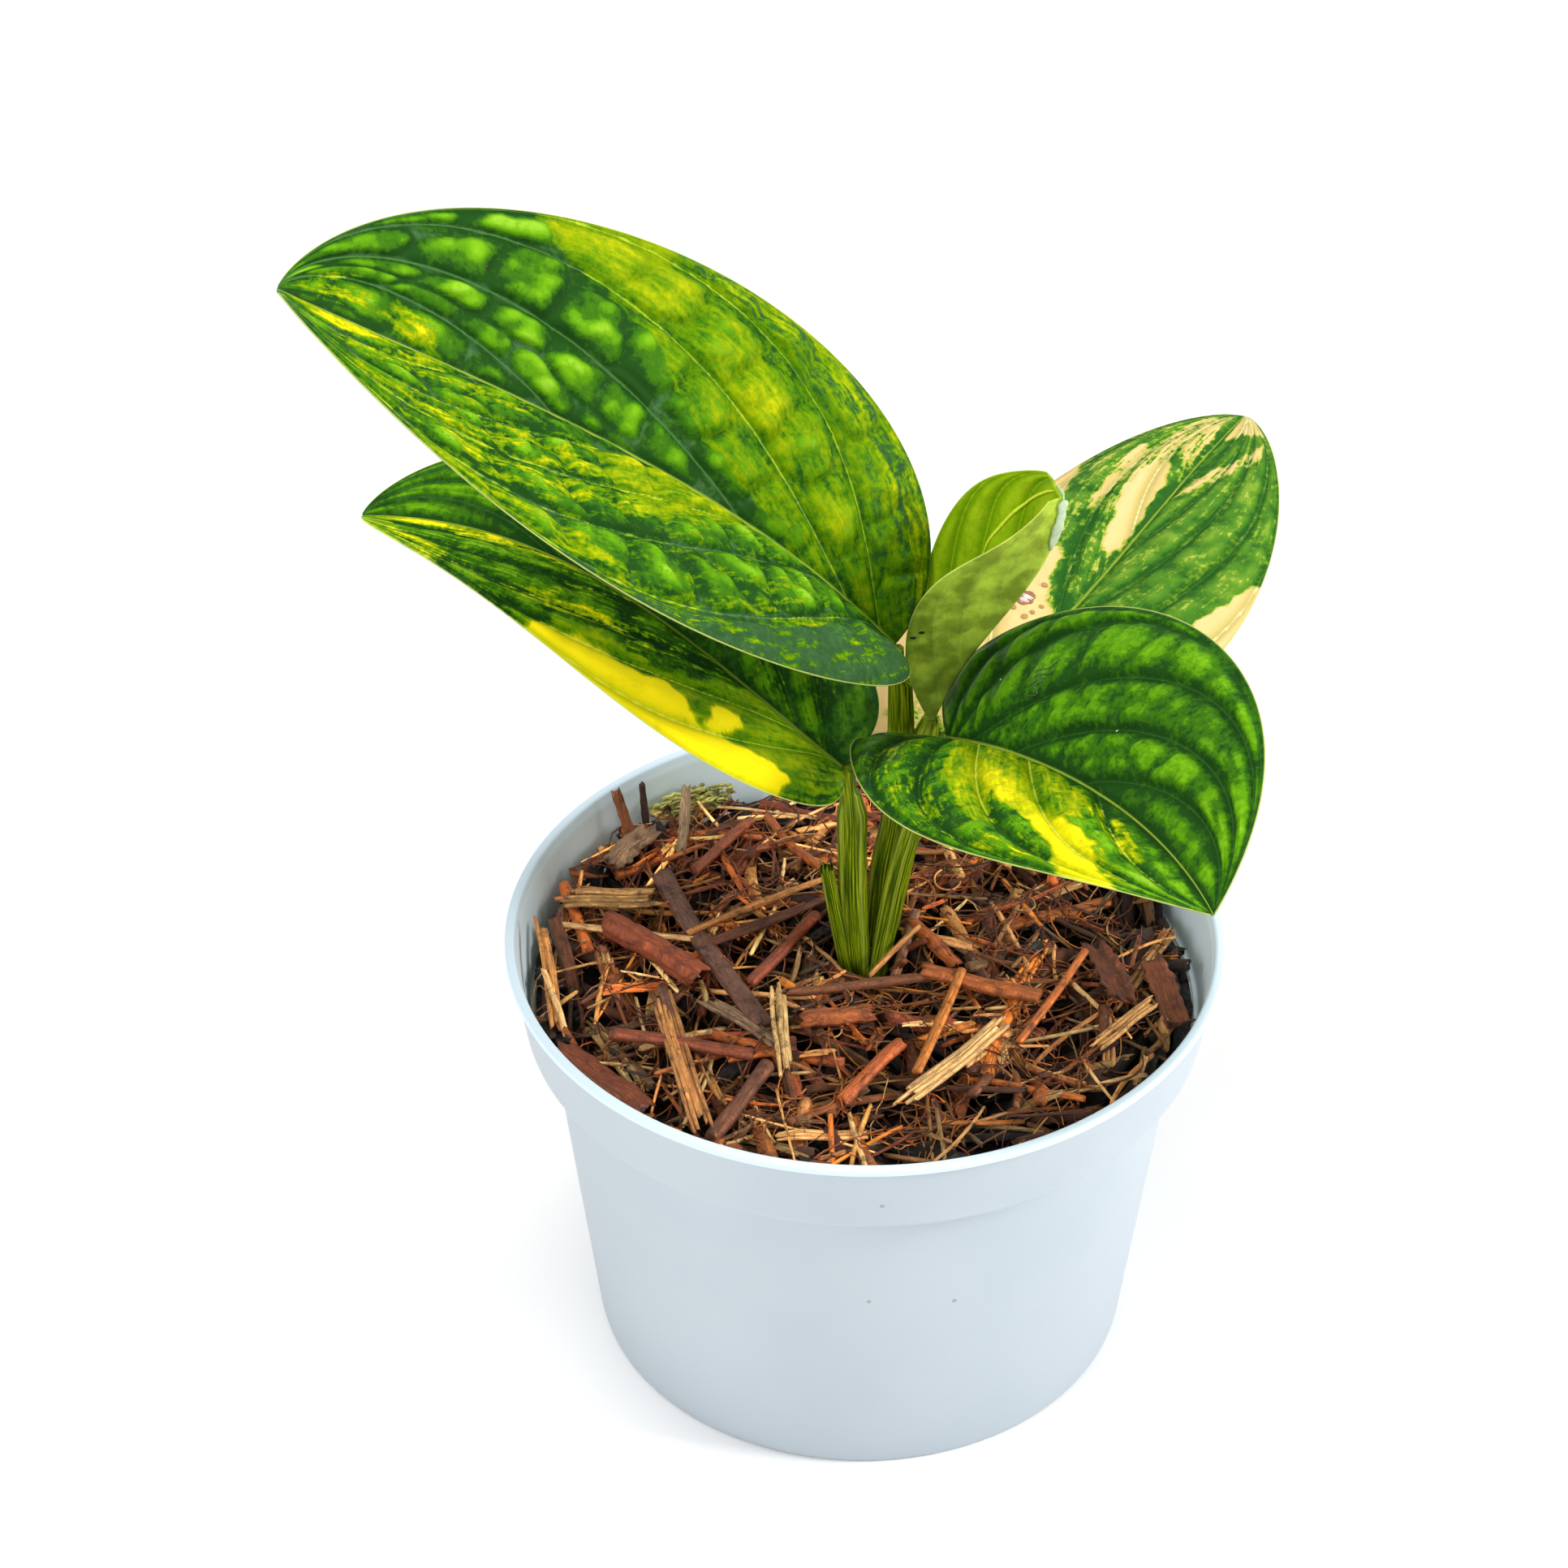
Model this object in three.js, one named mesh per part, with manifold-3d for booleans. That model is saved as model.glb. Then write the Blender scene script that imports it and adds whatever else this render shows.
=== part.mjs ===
// A potted variegated Monstera karstenianum: five leaves on their petioles, a short
// stem with a cut stub, and a chunky bark and straw mix in a round nursery pot.
// Millimetres, +Z up. The origin is the middle of the pot's underside.

import * as THREE from 'three';
import { mergeVertices } from 'three/addons/utils/BufferGeometryUtils.js';
import Module from 'manifold-3d';

const wasm = await Module();
wasm.setup();

// Clearance kept between neighbouring solids
const gap = 0.3;

// Pot, a moulded nursery pot of 150 mm with a collar under its rim
const rimRadius = 75;
const potHeight = 98;
const wall = 1.4;
const lipHeight = 1.8;
const lipProud = 1.2;
const collarHeight = 18;
const collarFoot = 71.5;
const bodyTop = 66.5;
const baseRadius = 57.5;
const floorThickness = 3.4;
const footRing = 6;
const footRecess = 1.6;
const centrePad = 16;
const drainHoles = 8;
const drainRadius = 4.5;
const drainCircle = 36;
const potSides = 48;

// Potting mix: a bed with loose pieces of bark, husk and straw half sunk in its top
const bedHeight = 84.5;
const bedSides = 24;
const bedRelief = 1.2;
const scatteredPieces = 52;
const scatterRadius = 58;
const pieceReach = 69;
const pieceTop = 87;
const mixSeed = 7;

// Tuft of moss against the wall at the back left: half sizes, middle, and turn in radians
const mossHalf = [9, 3.4, 4.4];
const mossPlace = [-35, 56.5, 89.6];
const mossTurn = 0.42;
const mossLumps = 0.16;

// Leaves. The midrib is a cubic curve from the petiole to the tip, given by its ends and
// its two handles. Pairs are for the left and the right half, seen from the base. Width is
// from the midrib to the margin at the widest place, and rise and fall shape the outline
// towards the base and the tip. Lobe is how far the heart-shaped base sweeps back, as a share
// of the length. Fold lifts each half, curl bends it down again towards the margin, and roll
// tips the whole blade, with twist more of it at the tip.
// Angles are degrees. Cells is the number of blisters along the blade, and panels the
// number of strips between side veins in each half.
const leaves = {
  leaf_upper_left: {
    midrib: [[5.7, 4, 166.3], [-25.3, -0.8, 208.4], [-68.8, -9.9, 234.6], [-108.1, -23.9, 264.4]],
    width: [45.4, 45.4], rise: [0.49, 0.49], fall: [0.68, 0.68], lobe: 0,
    fold: [27.5, 35.7], unfold: -15.4, curl: [31.7, 31.8], roll: 19.1, twist: 2.5,
    cells: 12, panels: 5, blister: 2, rib: 1.8, colour: 0x4e8a1e,
  },
  leaf_lower_left: {
    midrib: [[-4.2, 2, 137.3], [-32.9, 9.4, 161.1], [-59, 17.1, 190.3], [-101.7, 27.2, 182.5]],
    width: [31, 31], rise: [0.44, 0.44], fall: [0.71, 0.71], lobe: 0.03,
    fold: [25.5, 27.6], unfold: 0, curl: [30, 28], roll: 7.4, twist: 4,
    cells: 10, panels: 4, blister: 1.3, rib: 1.6, colour: 0x5f8f1a,
  },
  leaf_front_right: {
    midrib: [[15.6, 0, 147], [28.7, -30, 167.4], [51.9, -59.1, 176.4], [59.8, -97.3, 178.9]],
    width: [37.7, 37.7], rise: [0.7, 0.7], fall: [0.83, 0.83], lobe: 0.11,
    fold: [39.8, 28.5], unfold: -15.9, curl: [33.1, 17.4], roll: -17.5, twist: 5,
    cells: 11, panels: 5, blister: 1.7, rib: 1.6, colour: 0x2f7a1c,
  },
  leaf_back_right: {
    midrib: [[15, 14.8, 137.2], [45.9, 42.8, 146], [63.6, 80.5, 152.2], [85.7, 116, 151.2]],
    width: [33.9, 33.9], rise: [0.47, 0.47], fall: [0.76, 0.76], lobe: 0.06,
    fold: [14.7, 14.2], unfold: -4, curl: [42.3, 33.2], roll: -0.5, twist: 3.7,
    cells: 10, panels: 4, blister: 1.1, rib: 1.5, colour: 0x5a9330,
  },
  leaf_unfurling: {
    midrib: [[12.8, 5, 146.9], [17.5, 2.9, 173.2], [37.4, -1.1, 186], [36.3, -0.9, 207.9]],
    width: [23.5, 19.4], rise: [0.87, 1.19], fall: [0.59, 1.09], lobe: 0,
    fold: [35, 42.5], unfold: -20.5, curl: [-42.8, -21], roll: 2.1, twist: 3.4,
    cells: 7, panels: 3, blister: 0.4, rib: 1.2, colour: 0x8fb63a,
  },
};
const bladeThickness = 0.8;
const lobeReach = 0.06;
const panelSwell = 0.35;

// Stem and petioles: points of the middle line with the radius there, from the mix upwards
const stemLine = [[-3, 1, 48, 3.2], [-1, 3, 68, 4.2], [1.2, 6.4, 85.5, 5]];
const stubLine = [[-3, 3.4, 82, 1.5], [-3.8, 2.9, 88, 1.7], [-5.5, 2.1, 100, 1.6], [-7.5, 1, 113.7, 1.5]];
const petioles = {
  petiole_lower_left: {
    leaf: 'leaf_lower_left',
    line: [[-1.5, 4, 83, 1.6], [-2.1, 3, 90, 2.1], [-3.2, 3, 105, 3], [-3.7, 2.5, 120, 2.9], [-3.4, 2, 131, 2.2]],
    neck: 1.5,
  },
  petiole_upper_left: {
    leaf: 'leaf_upper_left',
    line: [[1.8, 8.4, 83, 2], [3.3, 7.4, 108, 2.1], [5.3, 7, 123, 2], [6, 6.2, 143, 1.8], [5.8, 4.8, 156, 1.6]],
    neck: 1.5,
  },
  petiole_front_right: {
    leaf: 'leaf_front_right',
    line: [[2.6, 4, 83, 1.8], [4.4, 3.6, 95.5, 2], [7, 2.6, 113, 2.1], [10.4, 1.3, 129, 2], [13.6, 0.4, 140.5, 1.8]],
    neck: 1.5,
  },
  petiole_back_right: {
    leaf: 'leaf_back_right',
    line: [[4, 9.8, 82, 1.9], [6.8, 12.5, 98, 2], [10, 14.4, 115, 1.9], [13, 15, 129, 1.8]],
    neck: 1.4,
  },
  petiole_new_leaf: {
    leaf: 'leaf_unfurling',
    line: [[4.9, 9.6, 106, 1.1], [6.8, 9.8, 119, 1.8], [9.4, 8, 132, 2], [11.6, 5.8, 142, 1.8]],
    neck: 1.4,
  },
};
const petioleSides = 8;
const ringSpacing = 6;

const colours = {
  pot: 0xdfe6ec,
  mix: 0x7a4526,
  moss: 0x9aa05a,
  stem: 0x5f8a2c,
};

const vec = (p) => new THREE.Vector3(p[0], p[1], p[2]);
const radians = THREE.MathUtils.degToRad;
const up = new THREE.Vector3(0, 0, 1);

// A small seeded generator, so that the mix falls the same way each time
function seededRandom(seed) {
  let state = seed >>> 0;
  return () => {
    state = (state + 0x6d2b79f5) >>> 0;
    let word = Math.imul(state ^ (state >>> 15), state | 1);
    word = (word + Math.imul(word ^ (word >>> 7), word | 61)) ^ word;
    return ((word ^ (word >>> 14)) >>> 0) / 4294967296;
  };
}

// Solids and meshes

function toSolid(geometry) {
  const bare = geometry.clone();
  bare.deleteAttribute('normal');
  bare.deleteAttribute('uv');
  const merged = mergeVertices(bare, 1e-4);
  const mesh = new wasm.Mesh({
    numProp: 3,
    vertProperties: new Float32Array(merged.attributes.position.array),
    triVerts: new Uint32Array(merged.index.array),
  });
  return new wasm.Manifold(mesh);
}

function toGeometry(solid) {
  const mesh = solid.getMesh();
  const geometry = new THREE.BufferGeometry();
  geometry.setAttribute('position', new THREE.BufferAttribute(mesh.vertProperties.slice(), 3));
  geometry.setIndex(new THREE.BufferAttribute(mesh.triVerts.slice(), 1));
  geometry.computeVertexNormals();
  return geometry;
}

function largestPiece(solid) {
  const pieces = solid.decompose();
  return pieces.reduce((best, piece) => (piece.volume() > best.volume() ? piece : best));
}

function joined(solids) {
  return solids.reduce((sum, solid) => sum.add(solid));
}

// A closed body from rings of equal point counts, with a fan over each end ring
function loft(rings) {
  const around = rings[0].length;
  const positions = rings.flat().flatMap((p) => [p.x, p.y, p.z]);
  const indices = [];
  for (let ring = 0; ring + 1 < rings.length; ring += 1) {
    for (let k = 0; k < around; k += 1) {
      const a = ring * around + k;
      const b = ring * around + (k + 1) % around;
      indices.push(a, b + around, b, a, a + around, b + around);
    }
  }
  const last = (rings.length - 1) * around;
  for (let k = 1; k + 1 < around; k += 1) {
    indices.push(0, k, k + 1, last, last + k + 1, last + k);
  }
  const geometry = new THREE.BufferGeometry();
  geometry.setAttribute('position', new THREE.Float32BufferAttribute(positions, 3));
  geometry.setIndex(indices);
  return geometry;
}

// An oval ring square to a direction; flat is the height of the oval over its width
function ovalRing(centre, direction, reference, radius, flat, sides) {
  const across = new THREE.Vector3().crossVectors(direction, reference).normalize();
  const upward = new THREE.Vector3().crossVectors(across, direction).normalize();
  return Array.from({ length: sides }, (_, k) => {
    const angle = 2 * Math.PI * (k + 0.5) / sides;
    return centre.clone()
      .addScaledVector(across, radius * Math.cos(angle))
      .addScaledVector(upward, radius * flat * Math.sin(angle));
  });
}

// A tapering green rod through points that each carry their own radius
function stalk(line, grow) {
  const curve = new THREE.CatmullRomCurve3(line.map(vec));
  const radii = new THREE.SplineCurve(line.map((p, i) => new THREE.Vector2(i, p[3])));
  const steps = Math.ceil(curve.getLength() / ringSpacing);
  const reference = new THREE.Vector3(1, 0, 0);
  const rings = [];
  for (let i = 0; i <= steps; i += 1) {
    const u = i / steps;
    const direction = curve.getTangent(u);
    const centre = curve.getPoint(u);
    if (i === 0) centre.addScaledVector(direction, -grow);
    if (i === steps) centre.addScaledVector(direction, grow);
    rings.push(ovalRing(centre, direction, reference, radii.getPoint(u).y + grow, 1, petioleSides));
  }
  return toSolid(loft(rings));
}

// Leaf blades

function midribFrame(leaf, s) {
  const [start, first, second, end] = leaf.midrib.map(vec);
  const u = THREE.MathUtils.clamp(s, 0, 1);
  const point = new THREE.CubicBezierCurve3(start, first, second, end).getPoint(u);
  const along = first.clone().sub(start).multiplyScalar(3 * (1 - u) ** 2)
    .addScaledVector(second.clone().sub(first), 6 * u * (1 - u))
    .addScaledVector(end.clone().sub(second), 3 * u * u);
  if (s < 0) point.addScaledVector(along, s);
  along.normalize();
  const level = new THREE.Vector3().crossVectors(along, up).normalize();
  const upright = new THREE.Vector3().crossVectors(level, along);
  const roll = radians(leaf.roll + leaf.twist * u);
  const side = level.clone().multiplyScalar(Math.cos(roll)).addScaledVector(upright, Math.sin(roll));
  const normal = upright.multiplyScalar(Math.cos(roll)).addScaledVector(level, -Math.sin(roll));
  return { u, point, side, normal };
}

function halfWidth(leaf, s, half) {
  const [rise, fall] = [leaf.rise[half], leaf.fall[half]];
  const shape = (x) => x ** rise * (1 - x) ** fall;
  return leaf.width[half] * shape(s) / shape(rise / (rise + fall));
}

// A point of the blade: s runs from base to tip, t from the left margin to the right one.
// Lift is off the middle surface, and spread grows the blade out and back past its base.
function bladePoint(leaf, s, t, lift, spread) {
  const reach = Math.abs(t);
  const half = t < 0 ? 0 : 1;
  const back = leaf.lobe * reach ** 1.6 * (s / lobeReach) * Math.exp(1 - s / lobeReach);
  const { u, point, side, normal } = midribFrame(leaf, s - back - spread / 100);
  const out = reach * (halfWidth(leaf, s, half) + spread);
  const bend = radians(leaf.curl[half]) / leaf.width[half];
  const start = radians(leaf.fold[half] + leaf.unfold * (u - 0.4));
  const slope = start - bend * out;
  const across = (Math.sin(start) - Math.sin(slope)) / bend - lift * Math.sin(slope) * Math.sign(reach);
  const upward = (Math.cos(slope) - Math.cos(start)) / bend + lift * (reach > 0 ? Math.cos(slope) : 1);
  return point.addScaledVector(side, Math.sign(t) * across).addScaledVector(normal, upward);
}

// Blisters between the side veins, set in staggered rows with a cross vein between cells
function quilting(leaf, along, s, t) {
  const place = Math.abs(t) * leaf.panels;
  const panel = Math.min(Math.floor(place), leaf.panels - 1);
  const crown = Math.sin(Math.PI * (place - panel));
  const phase = along * leaf.cells + 0.5 * (panel % 2);
  const cell = 0.5 - 0.5 * Math.cos(2 * Math.PI * phase);
  const fade = Math.sqrt(4 * s * (1 - s));
  return leaf.blister * crown * (panelSwell + (1 - panelSwell) * cell) * fade;
}

// A thin closed blade. Both faces carry the same quilting and are split alike, and the
// lower one has the midrib standing out as a keel.
function blade(leaf, grow) {
  const rows = 2 * leaf.cells;
  const columns = 4 * leaf.panels;
  const positions = [];
  const faceSize = 2 + (rows - 1) * (columns + 1);
  const vertex = (face, row, column) => {
    if (row === 0) return face * faceSize;
    if (row === rows) return face * faceSize + 1;
    return face * faceSize + 2 + (row - 1) * (columns + 1) + column;
  };
  for (const face of [0, 1]) {
    const half = (bladeThickness / 2 + grow) * (face === 0 ? 1 : -1);
    const put = (row, column) => {
      const along = row / rows;
      const s = 0.5 * along + 0.25 * (1 - Math.cos(Math.PI * along));
      const t = 2 * column / columns - 1;
      const keel = face === 1 && t === 0 ? leaf.rib * Math.sqrt(4 * s * (1 - s)) : 0;
      const point = bladePoint(leaf, s, t, half - keel + quilting(leaf, along, s, t), grow);
      positions.push(point.x, point.y, point.z);
    };
    put(0, columns / 2);
    put(rows, columns / 2);
    for (let row = 1; row < rows; row += 1) {
      for (let column = 0; column <= columns; column += 1) put(row, column);
    }
  }
  const indices = [];
  const triangle = (corners, turned) => {
    const [a, b, c] = corners.map((corner) => vertex(...corner));
    if (a === b || b === c || c === a) return;
    if (turned) indices.push(a, c, b);
    else indices.push(a, b, c);
  };
  for (let row = 0; row < rows; row += 1) {
    for (let column = 0; column < columns; column += 1) {
      for (const face of [0, 1]) {
        const near = [face, row, column];
        const right = [face, row, column + 1];
        const ahead = [face, row + 1, column];
        const across = [face, row + 1, column + 1];
        triangle([near, right, across], face === 1);
        triangle([near, across, ahead], face === 1);
      }
    }
    for (const column of [0, columns]) {
      const lower = [1, row, column];
      const lowerAhead = [1, row + 1, column];
      const upperAhead = [0, row + 1, column];
      const upper = [0, row, column];
      triangle([lower, lowerAhead, upperAhead], column === 0);
      triangle([lower, upperAhead, upper], column === 0);
    }
  }
  const geometry = new THREE.BufferGeometry();
  geometry.setAttribute('position', new THREE.Float32BufferAttribute(positions, 3));
  geometry.setIndex(indices);
  return toSolid(geometry);
}

// Pot

function turned(profile, sides) {
  const geometry = new THREE.LatheGeometry(profile.map(([r, z]) => new THREE.Vector2(r, z)), sides);
  return geometry.rotateX(Math.PI / 2);
}

// Radius of the pot's inner wall at a height in the body or in the collar
function innerRadius(z) {
  const collarBase = potHeight - collarHeight;
  const lipRadius = rimRadius - lipProud;
  if (z > collarBase) {
    return collarFoot + (lipRadius - collarFoot) * (z - collarBase) / collarHeight - wall;
  }
  return baseRadius + (bodyTop - baseRadius) * z / collarBase - wall;
}

function pot() {
  const collarBase = potHeight - collarHeight;
  const lipBase = potHeight - lipHeight;
  const footInner = baseRadius - footRing;
  const profile = [
    [0, 0],
    [centrePad, 0],
    [centrePad + footRecess, footRecess],
    [footInner - footRecess, footRecess],
    [footInner, 0],
    [baseRadius - 1.4, 0],
    [baseRadius, 1.6],
    [bodyTop, collarBase - 0.8],
    [collarFoot - 0.6, collarBase - 0.4],
    [collarFoot, collarBase + 0.5],
    [rimRadius - lipProud, lipBase - 0.2],
    [rimRadius, lipBase + 0.3],
    [rimRadius, potHeight - 0.4],
    [rimRadius - 0.5, potHeight],
    [rimRadius - 1.7, potHeight],
    [innerRadius(lipBase), lipBase - 0.6],
    [innerRadius(collarBase + 1), collarBase + 1],
    [innerRadius(collarBase), collarBase - 1.4],
    [innerRadius(floorThickness), floorThickness],
    [0, floorThickness],
  ];
  const holes = Array.from({ length: drainHoles }, (_, k) => {
    const angle = 2 * Math.PI * (k + 0.5) / drainHoles;
    const hole = new THREE.CylinderGeometry(drainRadius, drainRadius, 4 * floorThickness, 10);
    hole.rotateX(Math.PI / 2);
    hole.translate(drainCircle * Math.cos(angle), drainCircle * Math.sin(angle), 0);
    return toSolid(hole);
  });
  return toSolid(turned(profile, potSides)).subtract(joined(holes));
}

// Potting mix

// Pieces that stand out in the top layer: both ends, width, and height over width
const chosenPieces = [
  [[-43, 28, 88], [-21, -23, 89], 4.6, 0.3],
  [[-53, 10, 88], [-34, -10, 90], 6, 0.9],
  [[-42, -15, 91.5], [-32, -57, 89], 4.2, 0.5],
  [[6, -47, 89], [30, -21, 91], 3.8, 0.35],
  [[-16, -12, 89], [19, -6, 89.5], 2.6, 0.8],
  [[-62, -27, 88], [-45, -47, 90], 6.4, 0.3],
  [[-5, -45, 88], [7, -28, 89], 3.2, 0.7],
  [[-13, -22, 88], [1, -20, 88], 4.4, 0.9],
  [[-31, -56, 88], [-20, -36, 90], 3.4, 0.8],
  [[-18, -15, 92], [-16, -38, 87], 3, 0.5],
  [[-24, -8, 87], [-10, 14, 88], 2.8, 0.8],
  [[12, -6, 88], [36, -15, 88], 4, 0.7],
  [[10, -38, 88], [20, -8, 90], 2.2, 0.8],
  [[31, -28, 89], [46, -1, 91], 1.8, 0.8],
  [[48, 3, 87], [53, -17, 89], 6, 0.4],
  [[60, -2, 89], [64, -22, 88], 6, 0.3],
  [[46, -30, 89], [60, -15, 90], 3.4, 0.5],
  [[-51, 43, 99], [-46, 40, 84], 2.4, 0.6],
  [[-38, 52, 92], [-39, 37, 86], 2.6, 0.7],
];

// One loose piece: a four-sided rod, thinner towards its ends
function piece([start, end, width, flat]) {
  const from = vec(start);
  const to = vec(end);
  const direction = to.clone().sub(from).normalize();
  const ring = (centre, share) => ovalRing(centre, direction, up, share * width / Math.SQRT2, flat, 4);
  return toSolid(loft([ring(from, 1), ring(to, 0.8)]));
}

// Pieces that lie at random, evenly over the round bed
function scattered() {
  const random = seededRandom(mixSeed);
  return Array.from({ length: scatteredPieces }, () => {
    const distance = scatterRadius * Math.sqrt(random());
    const bearing = 2 * Math.PI * random();
    const heading = 2 * Math.PI * random();
    const half = 7 + 10 * random();
    const width = 2.6 + 3.2 * random();
    const flat = 0.4 + 0.5 * random();
    const tilt = 3.4 * (random() - 0.5);
    const middle = [distance * Math.cos(bearing), distance * Math.sin(bearing)];
    const z = pieceTop + 1.6 * random();
    const end = (sign) => {
      const x = middle[0] + sign * half * Math.cos(heading);
      const y = middle[1] + sign * half * Math.sin(heading);
      const inside = Math.min(1, pieceReach / (Math.hypot(x, y) + width / 2));
      return [x * inside, y * inside, z + sign * tilt];
    };
    return [end(-1), end(1), width, flat];
  });
}

function bed() {
  const bottom = floorThickness + gap;
  const collarBase = potHeight - collarHeight;
  const profile = [
    [0, bottom],
    [innerRadius(bottom) - gap, bottom],
    [innerRadius(collarBase) - wall - gap, collarBase - 1.6],
    [innerRadius(bedHeight) - gap, bedHeight - 2],
  ];
  for (const radius of [58, 40, 22, 0]) profile.push([radius, bedHeight]);
  const geometry = turned(profile, bedSides);
  const position = geometry.attributes.position;
  for (let i = 0; i < position.count; i += 1) {
    const [x, y, z] = [position.getX(i), position.getY(i), position.getZ(i)];
    const relief = bedRelief * Math.sin(0.31 * x + 1.3) * Math.cos(0.27 * y - 0.4);
    if (z > bedHeight - 1) position.setZ(i, z + relief);
  }
  return toSolid(geometry);
}

// A low cushion with a lumpy outline
function moss(grow) {
  const geometry = new THREE.IcosahedronGeometry(1, 2);
  const position = geometry.attributes.position;
  const place = new THREE.Vector3();
  const size = vec(mossHalf).addScalar(grow);
  for (let i = 0; i < position.count; i += 1) {
    place.fromBufferAttribute(position, i);
    place.multiplyScalar(1 + mossLumps * Math.sin(5 * place.x + 2) * Math.cos(6 * place.y));
    place.multiply(size);
    position.setXYZ(i, place.x, place.y, place.z);
  }
  geometry.rotateZ(mossTurn);
  geometry.translate(...mossPlace);
  return toSolid(geometry);
}

// The stem stands in the mix, the petioles on the stem, and each blade on its petiole

function stem(grow) {
  return stalk(stemLine, grow).add(stalk(stubLine, grow));
}

function petioleLine({ line, leaf, neck }) {
  return [...line, [...leaves[leaf].midrib[0], neck]];
}

const object = new THREE.Group();

function place(name, solid, colour, roughness) {
  const material = new THREE.MeshStandardMaterial({ color: colour, roughness, metalness: 0 });
  const mesh = new THREE.Mesh(toGeometry(solid), material);
  mesh.name = name;
  object.add(mesh);
}

place('pot', pot(), colours.pot, 0.55);

const names = Object.keys(petioles);
const cleared = [];
for (const name of names) {
  const line = petioleLine(petioles[name]);
  const around = [stem(gap), blade(leaves[petioles[name].leaf], gap), ...cleared];
  place(name, largestPiece(stalk(line, 0).subtract(joined(around))), colours.stem, 0.5);
  cleared.push(stalk(line, gap));
}
place('stem', stem(0), colours.stem, 0.5);

for (const [name, leaf] of Object.entries(leaves)) {
  place(name, blade(leaf, 0), leaf.colour, 0.4);
}

const loose = [...chosenPieces, ...scattered()].map(piece);
const growing = joined([stem(gap), moss(gap), ...cleared]);
place('potting_mix', largestPiece(joined([bed(), ...loose]).subtract(growing)), colours.mix, 0.9);
place('moss_tuft', moss(0), colours.moss, 0.95);

export default object;
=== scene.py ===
# The looks of the potted variegated Monstera karstenianum: blistered, marbled leaves,
# striped petioles, a loose mix of husk, bark and straw, and a matt white nursery pot.
# Sizes are millimetres unless a name says otherwise, and meshes are written in metres.
import math

import bpy
import numpy as np
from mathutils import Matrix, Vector


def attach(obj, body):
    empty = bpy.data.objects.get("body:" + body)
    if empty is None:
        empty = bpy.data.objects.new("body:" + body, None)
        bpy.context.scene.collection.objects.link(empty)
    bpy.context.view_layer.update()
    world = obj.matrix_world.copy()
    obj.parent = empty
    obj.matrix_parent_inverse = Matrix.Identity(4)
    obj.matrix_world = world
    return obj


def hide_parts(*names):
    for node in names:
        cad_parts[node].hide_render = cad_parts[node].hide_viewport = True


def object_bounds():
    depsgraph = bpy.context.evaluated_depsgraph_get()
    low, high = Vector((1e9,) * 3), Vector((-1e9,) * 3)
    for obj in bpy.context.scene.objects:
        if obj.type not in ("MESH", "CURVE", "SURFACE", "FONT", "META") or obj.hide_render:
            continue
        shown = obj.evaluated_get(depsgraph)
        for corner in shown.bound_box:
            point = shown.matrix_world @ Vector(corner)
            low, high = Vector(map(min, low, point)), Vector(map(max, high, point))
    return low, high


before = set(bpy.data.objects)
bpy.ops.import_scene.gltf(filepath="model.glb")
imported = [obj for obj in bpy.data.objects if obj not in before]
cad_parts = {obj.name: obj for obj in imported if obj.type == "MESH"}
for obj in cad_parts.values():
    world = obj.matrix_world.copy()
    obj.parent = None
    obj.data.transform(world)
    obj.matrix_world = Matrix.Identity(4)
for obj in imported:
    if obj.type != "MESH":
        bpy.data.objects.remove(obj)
cad_low, cad_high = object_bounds()

MM = 0.001
UP = np.array([0.0, 0.0, 1.0])

# Camera, found from the pot's rim, collar and foot in the photograph
LENS = 98.1
SENSOR = 36.0
ELEVATION = math.radians(36.64)
DISTANCE = 865.0
TARGET = np.array([-16.7, 0.0, 135.7])

# Pot
RIM_RADIUS = 75.0
POT_HEIGHT = 98.0
WALL = 1.4
LIP_HEIGHT = 1.8
LIP_PROUD = 1.2
COLLAR_HEIGHT = 18.0
COLLAR_FOOT = 71.5
BODY_TOP = 66.5
BASE_RADIUS = 57.5
FLOOR_THICKNESS = 3.4
FOOT_RING = 6.0
FOOT_RECESS = 1.6
CENTRE_PAD = 16.0
DRAIN_HOLES = 8
DRAIN_RADIUS = 4.5
DRAIN_CIRCLE = 36.0
POT_SIDES = 192
RIM_WAVER = 0.12  # how far the rim is from round
POT_INSET = 0.14  # keeps the wavering rim inside the bounds of the solids

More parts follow.
